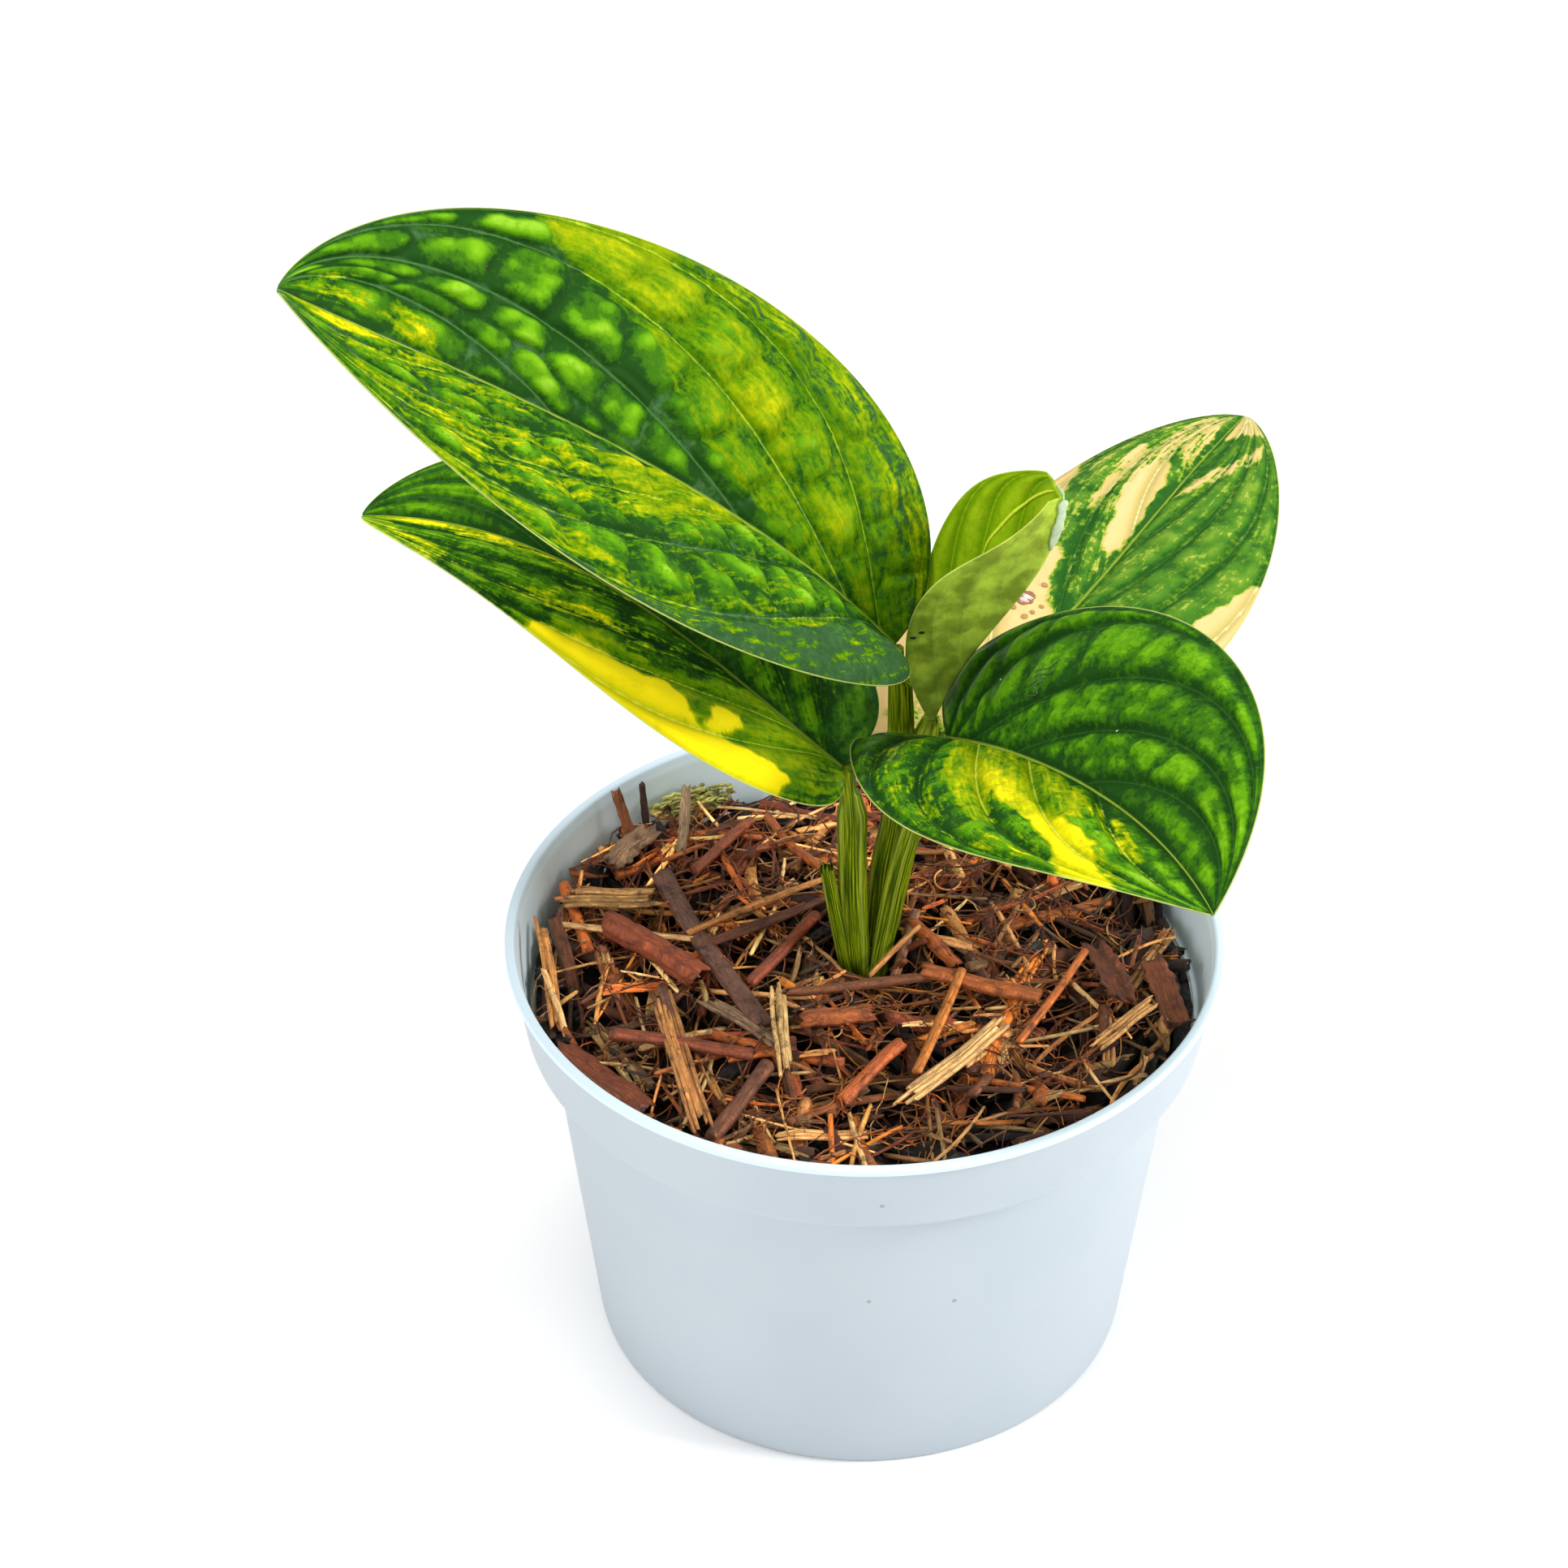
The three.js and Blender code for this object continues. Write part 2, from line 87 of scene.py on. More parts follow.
# Leaves. Midrib, width, rise, fall, lobe, fold, unfold, curl, roll and twist are those of the
# packed blades. Pairs are for the left and the right half. Blisters rise by blister, and the
# keel by rib. Cross veins part the blisters every cell mm, or where cell is 0 they are only
# notched into lumps, and lump is a lump's size. From panel wide_panel on, a panel between two
# side veins holds two rows. shine is how brightly lumps are painted as lit near the base,
# valley_sheen is how strong the painted grey sheen in the valleys is, and glow is an emission
# that paints light on the pale left half. A blade may end early.
# A side vein is where it leaves the midrib, how far out it ends as a share of the half width,
# and how soon it bends forward. A patch is a tone from 0, deepest green, to 1, palest, how
# streaky it is, the softness of its edge, and its corners, each in per cent of the length
# and then of the half width. Where no patch lies, ground is the tone and how streaky it is.
LEAVES = {
    "leaf_upper_left": dict(
        colours="green",
        midrib=[(5.7, 4, 166.3), (-25.3, -0.8, 208.4), (-68.8, -9.9, 234.6), (-108.1, -23.9, 264.4)],
        width=(45.4, 45.4), rise=(0.49, 0.49), fall=(0.68, 0.68), lobe=0, fold=(27.5, 35.7),
        unfold=-15.4, curl=(31.7, 31.8), roll=19.1, twist=2.5, blister=2.8, rib=1.8, rows=260,
        columns=140, cell=13, lump=4.6, valley_sheen=1, shine=(1, 1), wide_panel=3,
        veins=[[(0.03, 1, 4.2), (0.12, 0.95, 2), (0.26, 0.8, 1.5), (0.46, 0.64, 1.4), (0.7, 0.45, 1.2)],
               [(0.035, 1, 4.5), (0.1, 0.95, 1.7), (0.3, 0.72, 1.2), (0.6, 0.5, 1.2)]],
        ground=((0.29, 0.5), (0.455, 0.22)),
        patches=[
            # Far half: the dark blistered part towards the tip, then lighter places
            (0.22, 0.1, 0.8, 20, 0, 25, 5, 30, 10, 38.5, 17, 42, 26, 46, 36, 50, 50, 56, 62, 62, 74, 66,
             86, 69, 110, 110, 110, 110, 0),
            (0.5, 0.6, 2.5, 77, 2, 79, 22, 84, 28, 87, 12, 84, 2),
            (0.42, 0.8, 3, 87, 15, 90, 50, 95, 55, 98, 30, 94, 12),
            (0.6, 0.25, 3.5, 42, 72, 50, 62, 58, 72, 60, 80, 50, 84),
            (0.64, 0.2, 2.5, 48, 84, 62, 82, 67, 97, 50, 105),
            (0.58, 0.3, 3.5, 28, 40, 36, 42, 40, 56, 36, 70, 30, 60),
            (0.5, 0.5, 4, 2, 55, 10, 62, 25, 86, 45, 93, 40, 110, 0, 110),
            (0.36, 0.5, 2, 30, 70, 39, 76, 39, 80, 31, 76),
            # Near half: lime along the middle, streaks beyond, dark at the base
            (0.58, 0.35, 1, 23, 2, 30, -15, 38.5, -30, 44, -42, 50, -53, 54.5, -33, 52, -22, 60, -25,
             55, -8, 42, -1),
            (0.1, 0.15, 1, 42, 0, 50, -10, 57, -14, 61, -16, 66, -5, 62, 0),
            (0.44, 0.8, 2, 50, -48, 60, -66, 70, -79, 80, -80, 90, -86, 91, -60, 80, -45, 70, -36, 60,
             -28, 55, -36),
            (0.5, 0.5, 1.5, 30, -90, 48, -89, 60, -85, 75, -86, 90, -93, 80, -100, 50, -97, 35, -93),
            (0.4, 0.85, 2.5, 60, -2, 66, -20, 78, -34, 90, -50, 95, -40, 88, -20, 80, -3),
            (0.74, 0.6, 1.5, 80, 0, 85, -13, 90, -24, 96, -30, 98.5, -10, 98, 2),
            (0.42, 0.7, 4, 10, -75, 20, -70, 33, -72, 42, -66, 30, -58, 15, -62),
        ],
    ),
    "leaf_lower_left": dict(
        colours="green",
        midrib=[(-4.2, 2, 137.3), (-32.9, 9.4, 161.1), (-59, 17.1, 190.3), (-101.7, 27.2, 182.5)],
        width=(31, 31), rise=(0.44, 0.44), fall=(0.71, 0.71), lobe=0.03, fold=(25.5, 27.6), unfold=0,
        curl=(30, 28), roll=7.4, twist=4, blister=1.4, rib=1.6, rows=180, columns=96, cell=0, lump=5.5,
        valley_sheen=0.3, shine=(0.6, 0.6), wide_panel=4, glow=0.32,
        veins=2 * [[(0.03, 1, 5), (0.1, 0.97, 2.4), (0.25, 0.9, 1.7), (0.45, 0.7, 1.4),
                    (0.66, 0.5, 1.2)]],
        ground=((0.5, 0.2), (0.08, 0.15)),
        patches=[
            (0.42, 0.35, 1.5, -5, -110, 13, -110, 14, -80, 10, -60, 5, -30, 0, 0, -5, 0),
            (1, 0.06, 0.5, 13.5, -110, 66, -110, 62, -86, 56, -76, 50, -73, 42, -68, 37, -62, 31, -70,
             30, -76, 20, -72, 15, -70, 12, -76),
            (1, 0.05, 0.5, 26, -76, 29, -74, 28, -52, 23.5, -47, 22, -56),
            (0.12, 1, 1, 21.5, 3, 25, -14, 32, -34, 40, -53, 46, -57, 53, -60, 60, -74, 66, -96, 70,
             -110, 90, -100, 93, -60, 94, -35, 80, -22, 70, -17, 60, -8, 55, 3),
            (0.6, 0.9, 1.5, 42, -42, 55, -56, 66, -76, 72, -82, 68, -62, 56, -42),
            (0.68, 0.9, 1.5, 56, 2, 68, -16, 80, -24, 88, -32, 98, -25, 99, 2),
            (0.6, 0.8, 1.5, 82, -72, 90, -62, 96, -60, 92, -90, 84, -105),
            (0.22, 0.7, 2, 0, 0, 5, 30, 12, 60, 30, 30, 25, 3),
        ],
    ),
    "leaf_front_right": dict(
        colours="green",
        midrib=[(15.6, 0, 147), (28.7, -30, 167.4), (51.9, -59.1, 176.4), (59.8, -97.3, 178.9)],
        width=(37.7, 37.7), rise=(0.7, 0.7), fall=(0.83, 0.83), lobe=0.11, fold=(39.8, 28.5),
        unfold=-15.9, curl=(33.1, 17.4), roll=-17.5, twist=5, blister=2.4, rib=1.6, rows=210,
        columns=120, cell=0, lump=4.6, valley_sheen=0.1, shine=(0.66, 0.3), wide_panel=3,
        veins=[[(0.015, 1, 14), (0.04, 0.97, 6.5), (0.11, 0.92, 2.1), (0.27, 0.72, 1.5), (0.5, 0.5, 1.3)],
               [(0.02, 1, 9), (0.06, 0.97, 3.6), (0.14, 0.9, 1.9), (0.32, 0.75, 1.5), (0.55, 0.55, 1.2)]],
        ground=((0.1, 0.08), (0.24, 0.5)),
        patches=[
            (0.2, 0.6, 2, -10, 5, 12, 20, 25, 40, 38, 60, 50, 82, 62, 110, -10, 110),
            (0.3, 0.8, 3, 8, 50, 22, 46, 36, 62, 50, 78, 60, 95, 20, 98),
            (0.58, 0.4, 0.8, 2, 3, 34, 3, 45, 5, 56, 9, 68, 30, 62, 50, 58, 78, 50, 72, 42, 66, 34, 58,
             28, 42, 16, 24, 8, 14),
            (0.82, 0.3, 2, 30, 30, 40, 30, 50, 38, 62, 42, 60, 56, 50, 52, 36, 42),
            (0.9, 0.15, 0.8, 56, 42, 66, 40, 76, 46, 80, 58, 85, 75, 93, 110, 84, 110, 80, 92, 76, 78,
             71, 66, 62, 57),
            (0.18, 0.8, 1, 49, 50, 56, 56, 64, 58, 70, 66, 75, 78, 68, 78, 60, 70, 52, 58),
            (0.07, 0.2, 1.5, 34, 0, 45, 4, 60, 8, 75, 16, 90, 30, 100, 40, 105, 0),
            (0.64, 0.9, 1.2, 60, 10, 70, 13, 79, 22, 86, 44, 80, 38, 70, 28, 62, 22),
            (0.16, 0.4, 0.8, 70, 32, 78, 36, 86, 45, 82, 48, 72, 40),
            (0.6, 0.7, 1, 78, 48, 84, 62, 90, 82, 87, 84, 80, 62),
            (0.6, 0.9, 1.5, 62, 84, 70, 80, 78, 86, 74, 92, 64, 92),
        ],
    ),
    "leaf_back_right": dict(
        colours="cream",
        midrib=[(15, 14.8, 137.2), (45.9, 42.8, 146), (63.6, 80.5, 152.2), (85.7, 116, 151.2)],
        width=(33.9, 33.9), rise=(0.47, 0.47), fall=(0.76, 0.76), lobe=0.21, fold=(14.7, 14.2),
        unfold=-4, curl=(42.3, 33.2), roll=-0.5, twist=3.7, blister=1.2, rib=1.5, rows=180, columns=100,
        cell=0, lump=4.2, valley_sheen=0.1, shine=(0.7, 0.8), wide_panel=1,
        veins=[[(0.03, 1, 5), (0.1, 0.95, 2.4), (0.3, 0.6, 1.8), (0.55, 0.5, 1.3)],
               [(0.03, 1, 5), (0.09, 0.9, 1.9), (0.28, 0.66, 1.6), (0.5, 0.5, 1.3), (0.7, 0.4, 1.2)]],
        ground=((0.32, 0.6), (0.34, 0.27)),
        patches=[
            (0.95, 0.2, 0.6, -10, 2, -10, -110, 30, -110, 40, -80, 50, -55, 47, -42, 46, -30, 40, -25,
             35, -20, 33, -7, 25, 2),
            (0.7, 1, 2, -10, 50, -10, -50, 8, -60, 16, -40, 12, 30),
            (0.97, 0.15, 0.6, 50, -52, 56, -60, 64, -75, 70, -86, 76, -110, 30, -110),
            (0.96, 0.25, 0.7, 49, -6, 54, -17, 62, -27, 70, -38, 77, -40, 80, -30, 76, -16, 66, -8, 54,
             -3),
            (0.8, 1, 1, 60, -44, 68, -52, 75, -62, 82, -72, 80, -55, 72, -44),
            (0.7, 1.1, 1.5, 70, -40, 85, -60, 95, -80, 98, -40, 90, -10, 80, -2, 80, -30),
            (0.12, 0.2, 0.7, 56, 0, 62, -5, 70, -10, 76, -11, 74, -3, 68, 0),
            (0.97, 0.1, 0.5, 38, 84, 41, 76, 47, 83, 53, 92, 57, 110, 38, 110),
            (0.72, 0.9, 0.8, 70, 4, 76, 12, 81, 30, 86, 55, 90, 85, 87, 80, 82, 55, 76, 28),
            (0.9, 0.6, 1, 90, 10, 93, 40, 93, 90, 105, 90, 105, 5),
        ],
    ),
    "leaf_unfurling": dict(
        colours="young",
        midrib=[(12.8, 5, 146.9), (17.5, 2.9, 173.2), (37.4, -1.1, 186), (36.3, -0.9, 207.9)],
        width=(23.5, 19.4), rise=(0.87, 1.19), fall=(0.59, 1.09), lobe=0, fold=(35, 42.5), unfold=-20.5,
        curl=(-42.8, -21), roll=2.1, twist=3.4, blister=0.8, rib=1.2, rows=120, columns=72, cell=0,
        lump=6, valley_sheen=0, shine=(0.35, 0.35), wide_panel=9, end=0.93,
        veins=2 * [[(0.06, 1, 3), (0.22, 0.95, 1.8), (0.45, 0.75, 1.4)]],
        ground=((0.5, 0.15), (0.5, 0.15)),
        patches=[],
    ),
}
SURFACES = {}
BLADE_HALF = 0.3
MARGIN_HALF = 0.12
MARGIN = 2.5  # how far in from the margin the blade keeps thinning
CALM_REACH = 11.0  # how far from the midrib the blisters reach their full height
LOBE_REACH = 0.06
BASE_START = 0.012
TIP_END = 0.9965
INSET = 0.03  # how far the blades keep inside the bounds of the solids

# Petioles: points of the middle line with the radius there, then where the sheath ends, how
# far it widens and how deep its groove is, then the pale lines as angle, start and end
RIGHT = math.pi
FRONT = 1.5 * math.pi
STALKS = {
    "petiole_lower_left": dict(
        line=[(-1.5, 4, 83, 1.6), (-2.1, 3, 90, 2.1), (-3, 3, 105, 2.35), (-3.3, 2.6, 117, 2.35),
              (-3.4, 2.3, 126, 2.45), (-3.6, 2.1, 131, 1.8), (-4.2, 2, 138.5, 2)],
        sheath=(0.86, 0.55, 0.16), pale=[(FRONT + 0.75, 0, 0.84), (FRONT - 0.9, 0, 0.9)],
    ),
    "petiole_upper_left": dict(
        line=[(1.8, 8.4, 83, 2), (3.3, 7.4, 108, 2.1), (5.3, 7, 123, 2), (6, 6.2, 143, 1.8),
              (5.8, 4.8, 156, 1.6), (5.7, 4, 166.3, 1.5)],
        sheath=(0.84, 1.1, 0.12),
        pale=[(FRONT + 0.9, 0, 0.8), (RIGHT, 0.1, 0.86), (RIGHT - 0.3, 0.1, 0.86)],
    ),
    "petiole_front_right": dict(
        line=[(2.6, 4, 83, 1.8), (4.4, 3.6, 95.5, 2), (7, 2.6, 113, 2.1), (10.4, 1.3, 129, 2),
              (13.6, 0.4, 140.5, 1.8), (15.6, 0, 147, 1.5)],
        sheath=(0.8, 0.25, 0.14), pale=[(FRONT - 0.15, 0, 0.9), (FRONT + 0.85, 0, 0.8)],
    ),
    "petiole_back_right": dict(
        line=[(4, 9.8, 82, 1.9), (6.8, 12.5, 98, 2), (10, 14.4, 115, 1.9), (13, 15, 129, 1.8),
              (15, 14.8, 137.2, 1.4)],
        sheath=(0.8, 0.1, 0.1), pale=[(FRONT + 0.5, 0, 0.8)],
    ),
    "petiole_new_leaf": dict(
        line=[(4.9, 9.6, 106, 1.2), (7.4, 9.4, 119, 2.7), (9.6, 7.6, 132, 3), (11.4, 5.8, 142, 2.6),
              (12.8, 5, 148.5, 1.6)],
        sheath=(0.97, 0.2, 0.1), pale=[(FRONT - 0.7, 0, 1), (FRONT, 0, 1), (FRONT + 0.6, 0, 1)],
    ),
}

# The cane and the torn stub of an older petiole, in the same way
CANE = [(-3, 1, 48, 3.2), (-1, 3, 68, 4.2), (0.6, 5.2, 80, 4.6), (1.2, 6.2, 85, 3.6), (1.6, 6.8, 88, 0.8)]
STUB = [(-3, 3.4, 82, 1.5), (-3.8, 2.9, 88, 1.7), (-5.9, 1.9, 100, 1.5), (-8, 1, 113.7, 1.45)]
STUB_PALE = [(0, 0, 1), (FRONT + 0.9, 0, 1)]
STUB_TEAR = 1.6

# Potting mix
BED_HEIGHT = 81.5
BED_REACH = 70.3
GROUND_HALF = 72
PILE_TOP = 91.5
STEM_PLACE = (1.0, 6.0)
STEM_CLEAR = 6.3
MIX_SEED = 7
FIBRES = 800
FIBRE_REACH = 66.0
STEEPEST = 9.0
SHELL_WALL = 0.16
STRAND_WIDTH = 0.75
CHOSEN_RINGS = 22
# Painted shade: loose pieces are darkest below the first height and fully lit above the second
LIT_HEIGHTS = (85.4, 91.0)
MIX_CAST = (0.84, 0.69, 0.51)
# Painted shade: the bed is nearly black, for the shade deep in the gaps of the mix
BED_SHADE = (0.016, 0.008, 0.005)


# Small maths

def smoothstep(low, high, value):
    share = np.clip((value - low) / (high - low), 0.0, 1.0)
    return share * share * (3.0 - 2.0 * share)


def unit(vectors):
    return vectors / np.linalg.norm(vectors, axis=-1, keepdims=True)


def bezier(points, u):
    a, b, c, d = (np.array(p, float) for p in points)
    u = np.asarray(u)[..., None]
    return (1 - u) ** 3 * a + 3 * (1 - u) ** 2 * u * b + 3 * (1 - u) * u * u * c + u ** 3 * d


def bezier_slope(points, u):
    a, b, c, d = (np.array(p, float) for p in points)
    u = np.asarray(u)[..., None]
    return 3 * ((1 - u) ** 2 * (b - a) + 2 * (1 - u) * u * (c - b) + u * u * (d - c))


def wobble(*terms):
    """A smooth, irregular wave between about -1 and 1 made of a few sines."""
    total = 0.0
    for k, term in enumerate(terms):
        total = total + np.sin(term * (1.0 + 0.37 * k) + 1.7 * k)
    return total / len(terms)


def frame_along(points, reference):
    """Two directions at each point of a line, square to it and to each other."""
    path = unit(np.gradient(points, axis=0))
    across = unit(np.cross(path, reference))
    return across, np.cross(across, path)


def heading_of(angle):
    return np.array([math.cos(angle), math.sin(angle)])


def ring_angles(sides):
    return 2 * np.pi * np.arange(sides) / sides


def run_along(points):
    """How far each of some points lies from the first, along the line through them."""
    return np.concatenate([[0], np.cumsum(np.linalg.norm(np.diff(points, axis=0), axis=1))])


def catmull(points, u):
    """Points on a smooth line through the given ones, for u from 0 to 1."""
    points = np.array(points, float)
    last = len(points) - 1
    place = np.clip(u, 0, 1) * last
    k = np.minimum(place.astype(int), last - 1)
    f = (place - k)[:, None]
    padded = np.concatenate([[2 * points[0] - points[1]], points, [2 * points[-1] - points[-2]]])
    a, b, c, d = (padded[k + j] for j in range(4))
    bent = (2 * a - 5 * b + 4 * c - d) * f ** 2 + (3 * b - a - 3 * c + d) * f ** 3
    return 0.5 * (2 * b + (c - a) * f + bent)


def hashed(first, second):
    """A repeatable number from 0 to 1 for each pair of whole numbers."""
    value = np.sin(first * 127.1 + second * 311.7) * 43758.5453
    return value - np.floor(value)


# Meshes

def turned_points(radius, height, angles):
    """A ring of points at each height, from radii that may change round the ring."""
    rings = np.broadcast_arrays(radius * np.cos(angles), radius * np.sin(angles), height)
    return np.stack(rings, -1).reshape(-1, 3)


def tube_faces(rings, sides):
    index = np.arange(rings * sides).reshape(rings, sides)
    ahead = np.roll(index, -1, axis=1)
    a, b, c, d = index[:-1], ahead[:-1], ahead[1:], index[1:]
    return np.stack([a, d, c, b], -1).reshape(-1, 4)


def cap_faces(ring):
    """Four-cornered faces that close a ring with an even number of points."""
    ring = list(ring)
    last = len(ring) - 1
    return [[ring[k], ring[k + 1], ring[last - k - 1], ring[last - k]] for k in range(last // 2)]


def closed_tube(rings, sides, start=0, turned=False):
    """The faces round a tube's rings and over both its ends, with the first point's number."""
    faces = tube_faces(rings, sides).tolist() + cap_faces(range(sides))
    faces += [face[::-1] for face in cap_faces(range((rings - 1) * sides, rings * sides))]
    faces = np.array(faces) + start
    return faces[:, ::-1] if turned else faces


def build_object(name, points, quads, fields=None, material=None):
    """A smooth mesh from points in millimetres, four-cornered faces and named vertex values."""
    mesh = bpy.data.meshes.new(name)
    points = np.asarray(points, np.float32) * MM
    quads = np.asarray(quads, np.int32)
    mesh.vertices.add(len(points))
    mesh.vertices.foreach_set("co", points.ravel())
    mesh.loops.add(quads.size)
    mesh.loops.foreach_set("vertex_index", quads.ravel())
    mesh.polygons.add(len(quads))
    mesh.polygons.foreach_set("loop_start", np.arange(0, quads.size, 4, dtype=np.int32))
    mesh.polygons.foreach_set("use_smooth", np.ones(len(quads), bool))
    mesh.update()
    for field, values in (fields or {}).items():
        values = np.asarray(values, np.float32)
        kind = "FLOAT" if values.ndim == 1 else "FLOAT_VECTOR"
        attribute = mesh.attributes.new(field, kind, "POINT")
        attribute.data.foreach_set("value" if kind == "FLOAT" else "vector", values.ravel())
    mesh.validate()
    thing = bpy.data.objects.new(name, mesh)
    bpy.context.scene.collection.objects.link(thing)
    if material is not None:
        mesh.materials.append(material)
    return thing


def dress(thing, slot, *nodes):
    """Ties a finished piece to the part and hides the nodes that it stands for; slot is not used."""
    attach(thing, "root")
    if nodes:
        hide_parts(*nodes)


# Material building

class Wire:
    """A shader node's output. Adding to it or multiplying it makes a Math node."""

    def __init__(self, paint, socket):
        self.paint = paint
        self.socket = socket

    def __add__(self, other):
        return self.paint.maths("ADD", self, other)

    def __radd__(self, other):
        return self.paint.maths("ADD", other, self)

    def __sub__(self, other):
        return self.paint.maths("SUBTRACT", self, other)

    def __rsub__(self, other):
        return self.paint.maths("SUBTRACT", other, self)

    def __mul__(self, other):
        return self.paint.maths("MULTIPLY", self, other)

    def clamped(self):
        self.socket.node.use_clamp = True
        return self


class Paint:
    """Short calls for building one procedural material around its Principled shader."""

    def __init__(self, name):
        self.material = bpy.data.materials.new(name)
        self.material.use_nodes = True
        self.tree = self.material.node_tree
        self.shader = self.tree.nodes["Principled BSDF"]

    def _feed(self, socket, value):
        if isinstance(value, Wire):
            self.tree.links.new(value.socket, socket)
        elif isinstance(value, tuple):
            socket.default_value = (*value, 1.0)
        else:
            socket.default_value = value

    def add(self, output, kind, settings=None, **inputs):
        """Makes a node, feeds the named inputs and gives one of its outputs."""
        node = self.tree.nodes.new(kind)
        for key, value in (settings or {}).items():
            setattr(node, key, value)
        for key, value in inputs.items():
            self._feed(node.inputs[key.replace("_", " ")], value)
        return Wire(self, node.outputs[output])

    def maths(self, operation, a, b=0.0):
        made = self.add(0, "ShaderNodeMath", {"operation": operation})
        for socket, value in zip(made.socket.node.inputs, (a, b)):
            self._feed(socket, value)
        return made

    def between(self, value, low, high, to_low=0.0, to_high=1.0):
        return self.add("Result", "ShaderNodeMapRange", {"interpolation_type": "SMOOTHSTEP"},
                        Value=value, From_Min=low, From_Max=high, To_Min=to_low, To_Max=to_high)

    def mix(self, share, a, b, mode="MIX"):
        settings = {"data_type": "RGBA", "blend_type": mode, "clamp_factor": True}
        made = self.add(2, "ShaderNodeMix", settings)
        for index, value in ((0, share), (6, a), (7, b)):
            self._feed(made.socket.node.inputs[index], value)
        return made

    def tinted(self, colour, tint):
        return self.mix(1.0, colour, tint, "MULTIPLY")

    def ramp(self, value, stops, smooth=False):
        made = self.add("Color", "ShaderNodeValToRGB", None, Fac=value)
        ramp = made.socket.node.color_ramp
        ramp.interpolation = "EASE" if smooth else "LINEAR"
        while len(ramp.elements) < len(stops):
            ramp.elements.new(1.0)
        for element, (place, colour) in zip(ramp.elements, stops):
            element.position = place
            element.color = (*colour, 1.0)
        return made

    def noise(self, vector, scale, detail, roughness, distortion=0.0):
        return self.add("Fac", "ShaderNodeTexNoise", None, Vector=vector, Scale=scale, Detail=detail,
                        Roughness=roughness, Distortion=distortion)

    def cloud(self, scale, detail, roughness):
        return self.noise(self.place(), scale, detail, roughness)

    def spots(self, vector, scale):
        return self.add("Distance", "ShaderNodeTexVoronoi", None, Vector=vector, Scale=scale)

    def number(self, field):
        return self.add("Fac", "ShaderNodeAttribute", {"attribute_name": field})

    def vector(self, field):
        return self.add("Vector", "ShaderNodeAttribute", {"attribute_name": field})

    def split(self, vector):
        node = self.add(0, "ShaderNodeSeparateXYZ", None, Vector=vector).socket.node
        return [Wire(self, socket) for socket in node.outputs]

    def join(self, x, y, z):
        return self.add(0, "ShaderNodeCombineXYZ", None, X=x, Y=y, Z=z)

    def even(self, value):
        return self.join(value, value, value)

    def place(self):
        return self.add("Object", "ShaderNodeTexCoord")

    def bump(self, height, distance, strength, **normal):
        return self.add("Normal", "ShaderNodeBump", None, Height=height, Distance=distance,
                        Strength=strength, **normal)

    def finish(self, **inputs):
        for key, value in inputs.items():
            self._feed(self.shader.inputs[key.replace("_", " ")], value)
        return self.material


# Leaf blades

def midrib_frame(leaf, s):
    u = np.clip(s, 0.0, 1.0)
    along = bezier_slope(leaf["midrib"], u)
    point = bezier(leaf["midrib"], u) + along * np.minimum(s, 0.0)[..., None]
    along = unit(along)
    level = unit(np.cross(along, UP))
    upright = np.cross(level, along)
    roll = np.radians(leaf["roll"] + leaf["twist"] * u)[..., None]
    side = level * np.cos(roll) + upright * np.sin(roll)
    normal = upright * np.cos(roll) - level * np.sin(roll)
    return u, point, side, normal


def half_width(leaf, s, half):
    rise = np.array(leaf["rise"])[half]
    fall = np.array(leaf["fall"])[half]
    peak = rise / (rise + fall)
    return np.array(leaf["width"])[half] * (s / peak) ** rise * ((1 - s) / (1 - peak)) ** fall


def blade_points(leaf, s, t, lift):
    """Points of the blade: s from base to tip, t from the left margin to the right one."""
    reach = np.abs(t)
    half = (t >= 0).astype(int)
    back = leaf["lobe"] * reach ** 1.6 * (s / LOBE_REACH) * np.exp(1 - s / LOBE_REACH)
    u, point, side, normal = midrib_frame(leaf, s - back)
    out = reach * half_width(leaf, s, half)
    bend = np.radians(np.array(leaf["curl"])[half]) / np.array(leaf["width"])[half]
    start = np.radians(np.array(leaf["fold"])[half] + leaf["unfold"] * (u - 0.4))
    slope = start - bend * out
    ease = np.clip(out / 1.5, 0.0, 1.0)
    across = (np.sin(start) - np.sin(slope)) / bend - lift * np.sin(slope) * ease
    upward = (np.cos(slope) - np.cos(start)) / bend + lift * (1 - ease + ease * np.cos(slope))
    return point + side * (np.sign(t) * across)[..., None] + normal * upward[..., None]


def vein_field(veins, s, reach):
    """Counts the side veins inwards from the margin, and is whole on each vein.
    The second result is the distance between the two veins on either side, as a share."""
    lines = [np.full_like(s, 1.02)]
    for start, end, sweep in veins:
        x = (s - start) / (1 - start)
        rising = end * (1 - np.clip(1 - x, 0.0, 1.0) ** sweep)
        before = min(end * sweep / (1 - start), 3.0) * (s - start)
        line = np.where(s >= start, rising, before)
        lines.append(np.minimum(line, lines[-1] - 0.03))
    lines.append(np.minimum(1.4 * (s - 1.08), lines[-1] - 0.1))
    count = np.zeros_like(s)
    gap = np.ones_like(s)
    for k in range(len(lines) - 1):
        outer, inner = lines[k], lines[k + 1]
        inside = (reach <= outer) & (reach >= inner)
        count = np.where(inside, k + (outer - reach) / (outer - inner), count)
        gap = np.where(inside, outer - inner, gap)
    return count, gap


